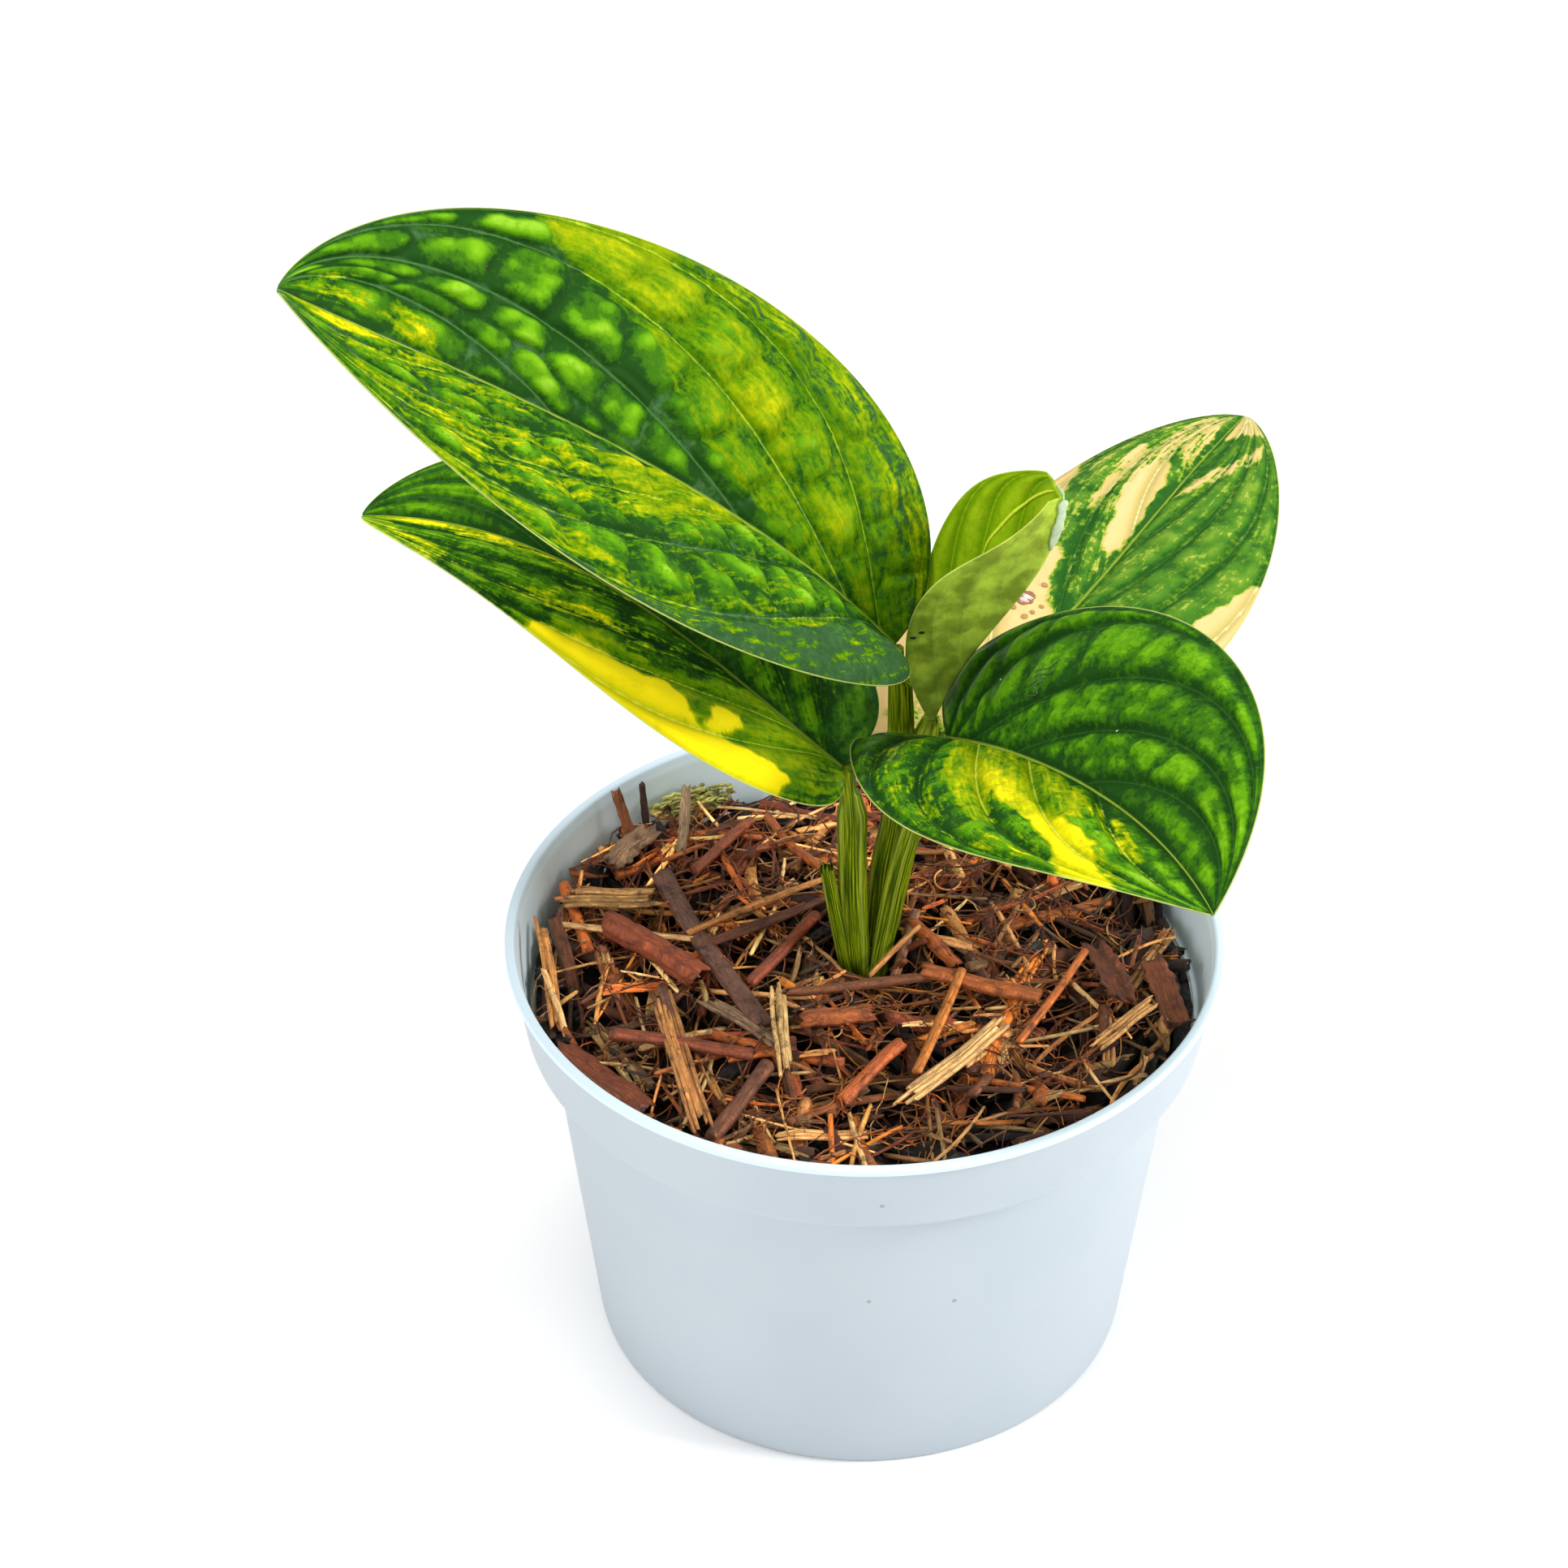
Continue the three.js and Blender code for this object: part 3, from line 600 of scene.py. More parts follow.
def cells(x, y, seed, loose, radius=0.45):
    """Irregular cells on a jittered grid: how far a point is from its cell's rounded border, how
    close it is to the middles of the cells around it, and a number for its own cell."""
    column, row = np.floor(x), np.floor(y)
    distances, strengths = [], []
    for i in (-1, 0, 1):
        for j in (-1, 0, 1):
            a, b = column + i, row + j
            px = a + 0.5 + loose[0] * (hashed(a + seed, b) - 0.5)
            py = b + 0.5 + loose[1] * (hashed(b + 2 * seed, a + 7) - 0.5)
            distances.append(np.hypot(x - px, y - py))
            strengths.append(hashed(a + 3 * seed, b + 5))
    distances, strengths = np.array(distances), np.array(strengths)
    nearest = distances.min(axis=0)
    others = np.exp((nearest - distances) / 0.1).sum(axis=0) - 1
    border = np.maximum(-0.1 * np.log(others + 1e-9), 0.0)
    blobs = ((0.35 + 0.65 * strengths) * np.exp(-(distances / radius) ** 2)).sum(axis=0)
    tag = np.take_along_axis(strengths, distances.argmin(axis=0)[None], 0)[0]
    return border, blobs, tag


def soft_least(*distances):
    """The smallest of some distances, with the corners between them eased."""
    ease = 0.4
    return np.maximum(-ease * np.log(sum(np.exp(-distance / ease) for distance in distances)), 0.0)


def quilting(leaf, length, s, t, count, gap, width):
    """Blisters between the side veins, parted by cross veins or notched into a ladder of lumps.
    Gives their height from 0 to 1, the distance to the nearest valley in mm and as a share of
    the way to the blister's middle, and how brightly their tops are lit."""
    panel = np.floor(count)
    share = count - panel
    reach_mm = np.abs(t) * width
    gap_mm = gap * width
    side_mm = np.minimum(share, 1 - share) * gap_mm
    run = 0.85 * s * length + 0.5 * reach_mm
    seed = panel + 11.0 * (t > 0)
    rows = np.where(panel >= leaf["wide_panel"], 2.0, 1.0)
    across = share * rows + 40 * panel
    shine = np.array(leaf["shine"])[(t >= 0).astype(int)]
    shine = shine + (1 - shine) * smoothstep(0.45, 0.95, s)
    if leaf["cell"]:
        along = run / leaf["cell"] + 0.37 * panel + 0.1 * wobble(0.15 * reach_mm + seed, 0.28 * reach_mm)
        across = across + 0.07 * wobble(0.2 * run + seed, 0.3 * run)
        border, _, size = cells(along, across, seed, (0.6, 0.35))
        cross_mm = 0.25 * border * (leaf["cell"] + gap_mm / rows)
        away = soft_least(cross_mm, side_mm, reach_mm)
        # The second distance places the painted grey sheen in the valleys, a little wider at the cross
        # veins
        sheen_distance = soft_least(cross_mm + 0.35, side_mm, reach_mm)
        middle = 0.5 * np.minimum(leaf["cell"], gap_mm / rows)
        blobs = cells(run / leaf["lump"], reach_mm / leaf["lump"], seed + 50, (0.8, 0.8))[1]
        shine = shine * smoothstep(0.5, 1.25, count)
    else:
        size = 1.0
        away = sheen_distance = soft_least(side_mm, reach_mm)
        middle = 0.5 * gap_mm
        along = (run + 0.5 * share * gap_mm) / leaf["lump"] + 0.37 * panel
        across = across + 0.12 * wobble(0.3 * run + seed, 0.5 * run)
        blobs = 1.3 * cells(along, across, seed + 50, (0.6, 0.35), 0.43)[1]
        shine = shine * (1.3 - 0.4 * share)
    lump = smoothstep(0.15, 0.95, blobs)
    cushion = 1 - np.exp(-away / 1.3)
    height = cushion * (0.6 + 0.4 * lump) * (0.8 + 0.2 * size)
    inward = away / (middle + 0.3)
    return height, sheen_distance, inward, smoothstep(0.0, 0.7, inward) * (0.2 + 0.8 * lump) * shine


def polygon_distance(x, y, corners):
    """Signed distance to a closed outline, negative inside it."""
    corners = np.array(corners, float)
    nearest = np.full(x.shape, 1e9)
    inside = np.zeros(x.shape, bool)
    for (ax, ay), (bx, by) in zip(corners, np.roll(corners, -1, axis=0)):
        ex, ey = bx - ax, by - ay
        h = np.clip(((x - ax) * ex + (y - ay) * ey) / (ex * ex + ey * ey + 1e-12), 0, 1)
        nearest = np.minimum(nearest, np.hypot(x - ax - h * ex, y - ay - h * ey))
        crosses = ((ay > y) != (by > y)) & (x < ex * (y - ay) / (ey if ey != 0 else 1e-12) + ax)
        inside ^= crosses
    return np.where(inside, -nearest, nearest)


def tones(leaf, length, s, t):
    """How pale and how streaky the blade is, from the leaf's patches."""
    half = (t >= 0).astype(int)
    tone, streaks = np.moveaxis(np.array(leaf["ground"])[half], -1, 0)
    width = leaf["width"][0]
    x, y = s * length, t * width
    x = x + 0.8 * wobble(0.5 * y + 0.2 * x, 0.9 * y)
    y = y + 0.6 * wobble(0.4 * x, 0.8 * x + 0.3 * y)
    for value, streaky, soft, *corners in leaf["patches"]:
        corners = np.reshape(corners, (-1, 2)) / 100.0
        cover = smoothstep(soft, -soft, polygon_distance(x, y, corners * (length, width)))
        cover = cover * (half == (corners[:, 1].sum() > 0))
        tone = tone + (value - tone) * cover
        streaks = streaks + (streaky - streaks) * cover
    return tone, streaks


def blade_faces(rows, columns):
    """The faces above and below, and the strips between them along the four edges."""
    size = (rows + 1) * (columns + 1)
    index = np.arange(size).reshape(rows + 1, columns + 1)
    a, b, c, d = index[:-1, :-1], index[:-1, 1:], index[1:, 1:], index[1:, :-1]
    faces = [np.stack([a, b, c, d], -1).reshape(-1, 4), np.stack([a, d, c, b], -1).reshape(-1, 4) + size]
    edges = ((index[:, 0], False), (index[:, -1], True), (index[0], True), (index[-1], False))
    for edge, turned in edges:
        strip = np.stack([edge[:-1], edge[1:], edge[1:] + size, edge[:-1] + size], -1)
        faces.append(strip[:, ::-1] if turned else strip)
    return np.concatenate(faces)


def blade(name, leaf, material):
    """A thin closed blade, whose vertices carry what the leaf colours need."""
    rows, columns = leaf["rows"], leaf["columns"]
    along = np.linspace(BASE_START, leaf.get("end", TIP_END), rows + 1)
    s_line = 0.5 * along + 0.25 * (1 - np.cos(np.pi * along))  # closer rows at the base and tip
    t_line = np.linspace(-1.0, 1.0, columns + 1)
    s, t = np.meshgrid(s_line, t_line, indexing="ij")
    length = np.linalg.norm(np.diff(bezier(leaf["midrib"], np.linspace(0, 1, 60)), axis=0), axis=1).sum()
    half = (t >= 0).astype(int)
    width = half_width(leaf, s, half)
    left, right = (vein_field(veins, s, np.abs(t)) for veins in leaf["veins"])
    count, gap = (np.where(half == 1, b, a) for a, b in zip(left, right))
    height, away, inward, lumps = quilting(leaf, length, s, t, count, gap, width)
    mid_mm = np.abs(t) * width
    rim_mm = (1 - np.abs(t)) * width
    inside = smoothstep(0.0, MARGIN, rim_mm)
    fade = np.sqrt(4 * s * (1 - s))
    calm = 0.25 + 0.75 * smoothstep(0.0, CALM_REACH, mid_mm)
    swell = leaf["blister"] * (height - 0.3) * inside * fade * calm
    thick = MARGIN_HALF + (BLADE_HALF - MARGIN_HALF) * inside
    groove = 0.35 * np.exp(-(mid_mm / 0.9) ** 2) * fade
    keel = leaf["rib"] * np.exp(-(mid_mm / 1.2) ** 2) * fade
    top = blade_points(leaf, s, t, swell + thick - groove)
    under = blade_points(leaf, s, t, swell - thick - keel)
    tone, streaks = tones(leaf, length, s, t)

    def both(*values):
        """One row of values for each vertex, the same above and below."""
        above = np.stack([np.broadcast_to(value, s.shape).ravel() for value in values], -1)
        return np.tile(above, (2, 1))

    tone_field = both(tone, streaks, 1.0)
    tone_field[s.size:, 2] = 0.0
    fields = {
        "leaf_place": both(s * length, count, gap * width),
        "leaf_tone": tone_field,
        "leaf_edge": both(mid_mm / (1.3 - s), rim_mm, leaf["valley_sheen"]),
        "leaf_relief": both(away, lumps, inward),
        "leaf_seed": both(10.0 * list(LEAVES).index(name) + 5.0 * half)[:, 0],
        # Painted light: how strongly the pale left half glows
        "leaf_glow": both(leaf.get("glow", 0.0) * (half == 0))[:, 0],
    }
    points = np.concatenate([top.reshape(-1, 3), under.reshape(-1, 3)])
    points = np.clip(points, np.array(cad_low) / MM + INSET, np.array(cad_high) / MM - INSET)
    thing = build_object(name + "_blade", points, blade_faces(rows, columns), fields, material)
    SURFACES[name] = (s_line, t_line, top, under)
    dress(thing, "young_leaf" if leaf["colours"] == "young" else "leaf", name)


# Leaf colours: the marbling from green to its palest, and the green blisters from their painted shade at
# the foot to their painted light at the top
LEAF_RAMPS = {
    "green": [(0.0, (0.007, 0.04, 0.004)), (0.2, (0.018, 0.095, 0.005)), (0.36, (0.042, 0.155, 0.004)),
              (0.5, (0.115, 0.235, 0.003)), (0.66, (0.265, 0.345, 0.003)), (0.84, (0.52, 0.5, 0.005)),
              (1.0, (0.96, 0.76, 0.008))],
    "cream": [(0.0, (0.012, 0.07, 0.012)), (0.25, (0.035, 0.15, 0.016)), (0.42, (0.1, 0.22, 0.016)),
              (0.54, (0.27, 0.4, 0.045)), (0.66, (0.52, 0.43, 0.095)), (0.8, (0.74, 0.51, 0.21)),
              (1.0, (0.78, 0.53, 0.235))],
    "young": [(0.0, (0.15, 0.31, 0.006)), (0.5, (0.24, 0.39, 0.005)), (1.0, (0.48, 0.56, 0.02))],
}
BLISTER_SHADING_RAMPS = {
    "green": [(0.0, (0.014, 0.06, 0.009)), (0.16, (0.038, 0.138, 0.006)), (0.4, (0.092, 0.262, 0.006)),
              (0.7, (0.152, 0.362, 0.008)), (1.0, (0.235, 0.455, 0.026))],
    "cream": [(0.0, (0.022, 0.1, 0.014)), (0.35, (0.06, 0.19, 0.018)), (0.7, (0.1, 0.235, 0.02)),
              (1.0, (0.18, 0.32, 0.032))],
    "young": [(0.0, (0.08, 0.2, 0.006)), (1.0, (0.3, 0.44, 0.01))],
}
VEIN_RAMPS = {
    "green": [(0.0, (0.04, 0.13, 0.035)), (0.3, (0.075, 0.185, 0.04)), (0.5, (0.36, 0.5, 0.03)),
              (1.0, (0.76, 0.74, 0.08))],
    "cream": [(0.0, (0.03, 0.1, 0.04)), (0.4, (0.1, 0.22, 0.06)), (1.0, (0.88, 0.72, 0.4))],
    "young": [(0.0, (0.25, 0.4, 0.008)), (1.0, (0.34, 0.46, 0.012))],
}

# Painted shade: tints that darken the blisters' flanks and the side veins' grooves
FLANK_SHADE = {
    "green": (0.82, 0.88, 0.75),
    "cream": (0.82, 0.88, 0.75),
    "young": (0.74, 0.8, 0.6),
}
GROOVE_SHADE = (0.66, 0.78, 0.6)

UNDERSIDES = {
    "green": (0.13, 0.25, 0.06),
    "cream": (0.35, 0.4, 0.18),
    "young": (0.52, 0.64, 0.09),
}
# Painted sheen: the grey-green laid over the blisters' valleys and the band inside the margin
PAINTED_SHEEN = (0.06, 0.135, 0.056)
MIDRIB = (0.3, 0.42, 0.04)
PALE_EDGE = (0.56, 0.6, 0.16)
GREEN_SHEEN = (0.7, 0.9, 0.22)
WHITE = (1.0, 1.0, 1.0)


def leaf_material(kind):
    """Green and pale marbling drawn out along the side veins, over bright-topped blisters."""
    paint = Paint("variegated_leaf_" + kind)
    along, count, gap = paint.split(paint.vector("leaf_place"))
    tone, streaks, upper = paint.split(paint.vector("leaf_tone"))
    middle, rim, grey = paint.split(paint.vector("leaf_edge"))
    away, lumps, inward = paint.split(paint.vector("leaf_relief"))
    seed = paint.number("leaf_seed")

    def drawn_out(length, panel_share, low, high):
        """Streaks along the side veins, from -0.5 to 0.5, with plain edges."""
        place = paint.join(along * (1.0 / length), count * (1.0 / panel_share), seed)
        return paint.between(paint.noise(place, 1.0, 3.0, 0.58, 0.12), low, high) - 0.5

    # Marbling
    speckle = paint.cloud(700.0, 4.0, 0.65)
    fine = (speckle - 0.5) * 1.3
    cloud = paint.cloud(130.0, 3.0, 0.6) - 0.5
    marks = drawn_out(12.0, 0.2, 0.38, 0.62) * 0.5 + drawn_out(5.0, 0.07, 0.4, 0.6) * 0.24 + fine
    level = tone + marks * streaks + fine * 0.12
    deep = paint.between(level, 0.28, 0.48, 1.0, 0.0)
    pale = 1.0 - deep
    # In the pale parts the lumps' painted light lifts the tone a little
    level = (level + (lumps * 0.12 + cloud * 0.34) * pale).clamped()
    colour = paint.ramp(level, LEAF_RAMPS[kind])

    # Blisters: painted shade on the flanks, painted light on the tops and painted grey sheen in the
    # valleys
    flank = paint.between(inward, 0.05, 0.7, 1.0, 0.0)
    colour = paint.mix(flank, colour, paint.tinted(colour, FLANK_SHADE[kind]))
    lit = lumps * paint.between(level, 0.0, 0.24, 0.35, 1.0)
    lit = (lit + fine * 0.35 + cloud * 0.5).clamped()
    colour = paint.mix(deep, colour, paint.ramp(lit, BLISTER_SHADING_RAMPS[kind], True))
    # Painted grey sheen in the valleys, and as the hem in the band between the margin and the first side
    # vein, only where the green is deep
    uneven = paint.between(speckle, 0.3, 0.7, 0.35, 0.85)
    hem = paint.between(count, 0.7, 1.08, 0.75, 0.0)
    valley = paint.maths("MAXIMUM", paint.between(away - cloud * 2.2, 0.0, 0.5, 1.0, 0.0), hem)
    valley_sheen = valley * deep * (grey * uneven)
    colour = paint.mix(valley_sheen, colour, PAINTED_SHEEN)

    # Side veins with painted shade in their grooves, the midrib and the pale margin. In the deep green
    # the side veins' grey-green is partly their own colour and partly painted sheen.
    beside = paint.maths("ABSOLUTE", count - paint.maths("ROUND", count)) * gap
    groove = paint.between(beside, 0.2, 2.2, 0.8, 0.0)
    colour = paint.mix(groove, colour, paint.tinted(colour, GROOVE_SHADE))
    strength = paint.maths("MAXIMUM", paint.maths("MAXIMUM", pale, grey), 0.35)
    vein = paint.between(beside, 0.06, 0.3, 0.75, 0.0) * strength
    colour = paint.mix(vein, colour, paint.ramp(level, VEIN_RAMPS[kind]))
    colour = paint.mix(paint.between(middle, 0.2, 0.55, 0.75, 0.0), colour, MIDRIB)
    colour = paint.mix(paint.between(rim, 0.06, 0.28, 0.8, 0.0), colour, PALE_EDGE)

    # The duller underside
    soft = paint.between(paint.cloud(150.0, 3.0, 0.5), 0.38, 0.62, 0.7, 1.28)
    dull = paint.tinted(paint.mix(0.55, colour, UNDERSIDES[kind]), paint.even(soft))
    colour = paint.mix(1.0 - upper, colour, dull)

    normal = paint.bump(paint.cloud(650.0, 5.0, 0.62), 0.00035, 0.5)
    # The emission is painted light: the pale parts of a leaf with glow shine by themselves
    return paint.finish(Base_Color=colour, Roughness=paint.between(speckle, 0.3, 0.7, 0.36, 0.5),
                        Specular_IOR_Level=0.02, Specular_Tint=paint.mix(valley_sheen, GREEN_SHEEN, WHITE),
                        Normal=paint.bump(beside, 0.0002, 0.3, Normal=normal),
                        Emission_Color=colour, Emission_Strength=paint.number("leaf_glow") * pale)


# Stem and petioles

def tube_rings(line, steps, sides, section=None):
    """Rings of points round a line whose points carry a radius, square to the line."""
    path = catmull(line, np.linspace(0, 1, steps + 1))
    centres, radii = path[:, :3], path[:, 3:]
    across, forward = frame_along(centres, np.array([0.0, 1.0, 0.02]))
    angles = ring_angles(sides)
    if section is not None:
        radii = radii * section(np.linspace(0, 1, steps + 1)[:, None], angles)
    ring = across[:, None] * np.cos(angles)[:, None] + forward[:, None] * np.sin(angles)[:, None]
    return centres[:, None] + ring * radii[..., None], run_along(centres), angles


def off_angle(angles, centre):
    """How far angles are from one of them, either way round."""
    return np.abs((angles - centre + np.pi) % (2 * np.pi) - np.pi)


def sheath(top, ear, reach):
    """A section with a groove in front, wider on its right up to a rounded ear at the top."""
    def section(share, angles):
        below = smoothstep(top + 0.012, top - 0.012, share)
        swell = ear * below * np.exp(-(off_angle(angles, RIGHT) / 0.8) ** 2)
        groove = reach * below * np.exp(-(off_angle(angles, FRONT + 0.35) / 0.3) ** 2)
        return 1 + swell - groove + 0.02 * np.cos(9 * angles)
    return section


def stalk(name, line, material, section=None, pale=(), ragged=0.0):
    """A petiole along a line, with pale lines down it and, if asked, a torn top."""
    steps, sides = 90, 48
    points, run, angles = tube_rings(line, steps, sides, section)
    points[-1, :, 2] += ragged * wobble(3 * angles, 8 * angles)
    share = run[:, None] / run[-1]
    place = np.stack(np.broadcast_arrays(share, np.cos(angles)[None], np.sin(angles)[None]), -1)
    lines = np.zeros((steps + 1, sides))
    for centre, start, end in pale:
        stretch = smoothstep(start - 0.02, start + 0.02, share)
        stretch = stretch * smoothstep(end + 0.02, end - 0.02, share)
        lines = np.maximum(lines, stretch * np.exp(-(off_angle(angles, centre) / 0.1) ** 2))
    fields = {"stalk_place": place.reshape(-1, 3), "stalk_run": np.repeat(run, sides),
              "stalk_pale": lines.ravel()}
    return build_object(name, points.reshape(-1, 3), closed_tube(steps + 1, sides), fields, material)


STALK_RAMP = [(0.38, (0.026, 0.06, 0.003)), (0.47, (0.08, 0.14, 0.003)),
              (0.54, (0.2, 0.27, 0.003)), (0.64, (0.44, 0.49, 0.016))]
STALK_PALE = (0.44, 0.52, 0.07)
STALK_FOOT_SHADE = (0.045, 0.06, 0.01)


def stalk_material():
    """Thin stripes down the stalk, its pale lines and painted shade darkening its foot."""
    paint = Paint("striped_petiole")
    share, across, forward = paint.split(paint.vector("stalk_place"))
    around = paint.join(across * 2.2, forward * 2.2, paint.number("stalk_run") * 0.02)
    colour = paint.ramp(paint.noise(around, 3.2, 5.0, 0.65), STALK_RAMP)
    colour = paint.mix(paint.number("stalk_pale") * 0.6, colour, STALK_PALE)
    # Painted shade: the lowest part of the stalk, by the mix, is darker
    colour = paint.mix(paint.between(share, 0.0, 0.12, 0.5, 0.0), colour, STALK_FOOT_SHADE)
    return paint.finish(Base_Color=colour, Roughness=0.42, Specular_IOR_Level=0.1,
                        Normal=paint.bump(paint.noise(around, 14.0, 3.0, 0.6), 0.0002, 0.5))


# Pot

def inner_radius(z):
    collar_base = POT_HEIGHT - COLLAR_HEIGHT
    if z > collar_base:
        widening = RIM_RADIUS - LIP_PROUD - COLLAR_FOOT
        return COLLAR_FOOT + widening * (z - collar_base) / COLLAR_HEIGHT - WALL
    return BASE_RADIUS + (BODY_TOP - BASE_RADIUS) * z / collar_base - WALL


def pot_profile():
    """The pot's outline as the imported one, with its corners rounded."""
    collar_base = POT_HEIGHT - COLLAR_HEIGHT
    lip_base = POT_HEIGHT - LIP_HEIGHT
    foot_inner = BASE_RADIUS - FOOT_RING
    corners = [
        (0.5, 0.0, 0), (CENTRE_PAD, 0, 0.5), (CENTRE_PAD + FOOT_RECESS, FOOT_RECESS, 0.5),
        (foot_inner - FOOT_RECESS, FOOT_RECESS, 0.5), (foot_inner, 0, 0.5), (BASE_RADIUS - 0.6, 0, 0.9),
        (BASE_RADIUS, 1.6, 0.9), (BODY_TOP, collar_base - 0.8, 0.6),
        (COLLAR_FOOT - 0.3, collar_base - 0.3, 0.5), (COLLAR_FOOT + 0.05, collar_base + 1.0, 0.5),
        (RIM_RADIUS - LIP_PROUD, lip_base - 0.2, 0.35), (RIM_RADIUS, lip_base + 0.2, 0.3),
        (RIM_RADIUS, POT_HEIGHT, 0.7), (RIM_RADIUS - 2.0, POT_HEIGHT, 0.6),
        (inner_radius(lip_base), lip_base - 0.9, 0.6),
        (inner_radius(collar_base + 1), collar_base + 1, 0.6),
        (inner_radius(collar_base), collar_base - 1.4, 0.6),
        (inner_radius(FLOOR_THICKNESS), FLOOR_THICKNESS, 0.9), (0.5, FLOOR_THICKNESS, 0),
    ]
    outline = []
    for k, (r, z, fillet) in enumerate(corners):
        here = np.array([r, z])
        if fillet == 0:
            outline.append(here)
            continue
        before = np.array(corners[k - 1][:2]) - here
        after = np.array(corners[k + 1][:2]) - here
        cut = min(fillet, 0.45 * np.linalg.norm(before), 0.45 * np.linalg.norm(after))
        first = here + cut * before / np.linalg.norm(before)
        last = here + cut * after / np.linalg.norm(after)
        for f in (0.0, 0.33, 0.67, 1.0):
            outline.append((1 - f) ** 2 * first + 2 * f * (1 - f) * here + f * f * last)
    filled = [outline[0]]
    for point in outline[1:]:
        steps = max(1, int(np.linalg.norm(point - filled[-1]) // 9))
        start = filled[-1]
        filled += [start + (point - start) * (j + 1) / steps for j in range(steps)]
    return np.array(filled)


def pot(material):
    outline = pot_profile()
    angles = ring_angles(POT_SIDES)
    radius, height = outline[:, :1], outline[:, 1:]
    waver = RIM_WAVER * np.sin(3 * angles + 0.7) * smoothstep(60, POT_HEIGHT, height)
    points = turned_points(radius - POT_INSET + waver, height, angles)
    quads = closed_tube(len(outline), POT_SIDES, 0, True)
    shell = build_object("pot_shell", points, quads, None, material)
    drain(shell)
    dress(shell, "pot", "pot")


def drain(shell):
    """Cuts the round drain holes through the pot's floor."""
    sides = 24
    points, quads = [], []
    for k in range(DRAIN_HOLES):
        middle = DRAIN_CIRCLE * heading_of(2 * math.pi * (k + 0.5) / DRAIN_HOLES)
        quads.append(closed_tube(2, sides, 2 * sides * k, True))
        hole = turned_points(DRAIN_RADIUS, np.array([[-3.0], [8.0]]), ring_angles(sides))
        points.append(hole + (*middle, 0.0))
    cutter = build_object("drain_cutter", np.concatenate(points), np.concatenate(quads))
    modifier = shell.modifiers.new("drain", "BOOLEAN")
    modifier.operation = "DIFFERENCE"
    modifier.object = cutter
    modifier.solver = "EXACT"
    bpy.context.view_layer.update()
    cut = bpy.data.meshes.new_from_object(shell.evaluated_get(bpy.context.evaluated_depsgraph_get()))
    shell.modifiers.clear()
    shell.data = cut
    bpy.data.objects.remove(cutter)


PLASTIC = [(0.415, 0.478, 0.53), (0.434, 0.494, 0.544)]
DIRT = (0.22, 0.19, 0.16)
MOULD_TINT = (0.42, 0.48, 0.54)
INNER_WALL_LIGHT = (0.8, 0.92, 1.000)
SMEAR = (0.22, 0.23, 0.23)
LIP_HIGHLIGHT = (0.65, 0.785, 0.9)

# Places on the pot in metres: the two round mould marks, and a cone between the collar's
# outer and inner walls, as its radius at height 0 and how it widens
MARK_HEIGHTS = (0.0147, 0.0712)
MARK_SIDE = 0.0078
MARK_RADIUS = (0.0029, 0.0036)
CONE = (0.0606, 0.1278)
COLLAR_FLOOR = 0.0806


def pot_material():
    """Matt bluish white plastic with specks of dirt, two faint mould marks, smears inside, painted light
    on the inner wall and a painted highlight along the lip.
    """
    paint = Paint("matt_white_plastic")
    place = paint.place()
    x, y, z = paint.split(place)
    cloud = paint.between(paint.noise(place, 28.0, 3.0, 0.5), 0.3, 0.7)
    colour = paint.mix(cloud, *PLASTIC)
    size = paint.between(paint.noise(place, 60.0, 2.0, 0.5), 0.48, 0.75, 0.0, 0.13)
    dirt = paint.maths("LESS_THAN", paint.spots(place, 95.0), size)
    colour = paint.mix(dirt * 0.6, colour, DIRT)
    for height in MARK_HEIGHTS:
        side = x + MARK_SIDE
        rise = z - height
        away = paint.maths("SQRT", side * side + rise * rise)
        mark = (1.0 - paint.between(away, *MARK_RADIUS)) * paint.maths("LESS_THAN", y, 0.0)
        colour = paint.mix(mark * 0.16, colour, MOULD_TINT)
    # Painted light: the inner wall of the collar is made paler and bluer
    radius = paint.maths("SQRT", x * x + y * y)
    inner = paint.maths("LESS_THAN", radius, CONE[0] + z * CONE[1])
    inner = inner * paint.maths("GREATER_THAN", z, COLLAR_FLOOR)
    colour = paint.mix(inner * 0.85, colour, INNER_WALL_LIGHT)
    below_lip = inner * paint.between(z, 0.088, 0.096, 1.0, 0.0)
    smear = paint.between(paint.noise(paint.join(x, y, z * 0.4), 55.0, 4.0, 0.6), 0.54, 0.7) * below_lip
    colour = paint.mix(smear * 0.28, colour, SMEAR)
    # Painted highlight: a bright bluish line along the top of the lip
    colour = paint.mix(paint.between(z, 0.0961, 0.0966) * 0.85, colour, LIP_HIGHLIGHT)
    grain = paint.noise(place, 1500.0, 2.0, 0.5)
    return paint.finish(Base_Color=colour, Roughness=0.5, Normal=paint.bump(grain, 0.00006, 0.4))


# Potting mix

PALETTE = {
    "red": [(0.36, 0.085, 0.026), (0.46, 0.135, 0.034), (0.26, 0.066, 0.022)],
    "orange": [(0.7, 0.22, 0.036), (0.82, 0.31, 0.05), (0.6, 0.17, 0.034)],
    "tan": [(0.78, 0.43, 0.16), (0.86, 0.54, 0.24), (0.66, 0.34, 0.12)],
    "straw": [(0.96, 0.74, 0.4), (0.9, 0.64, 0.32)],
    "brown": [(0.24, 0.085, 0.032), (0.3, 0.115, 0.042), (0.17, 0.06, 0.026)],
    "dark": [(0.06, 0.024, 0.013), (0.09, 0.036, 0.018)],
    "grey": [(0.34, 0.25, 0.19), (0.4, 0.31, 0.24)],
    "bark": [(0.31, 0.22, 0.165)],
    "purple": [(0.26, 0.135, 0.115), (0.24, 0.12, 0.11)],
}
KINDS = {"red": 0.14, "orange": 0.17, "tan": 0.26, "straw": 0.06, "brown": 0.25, "dark": 0.09,
         "grey": 0.03}

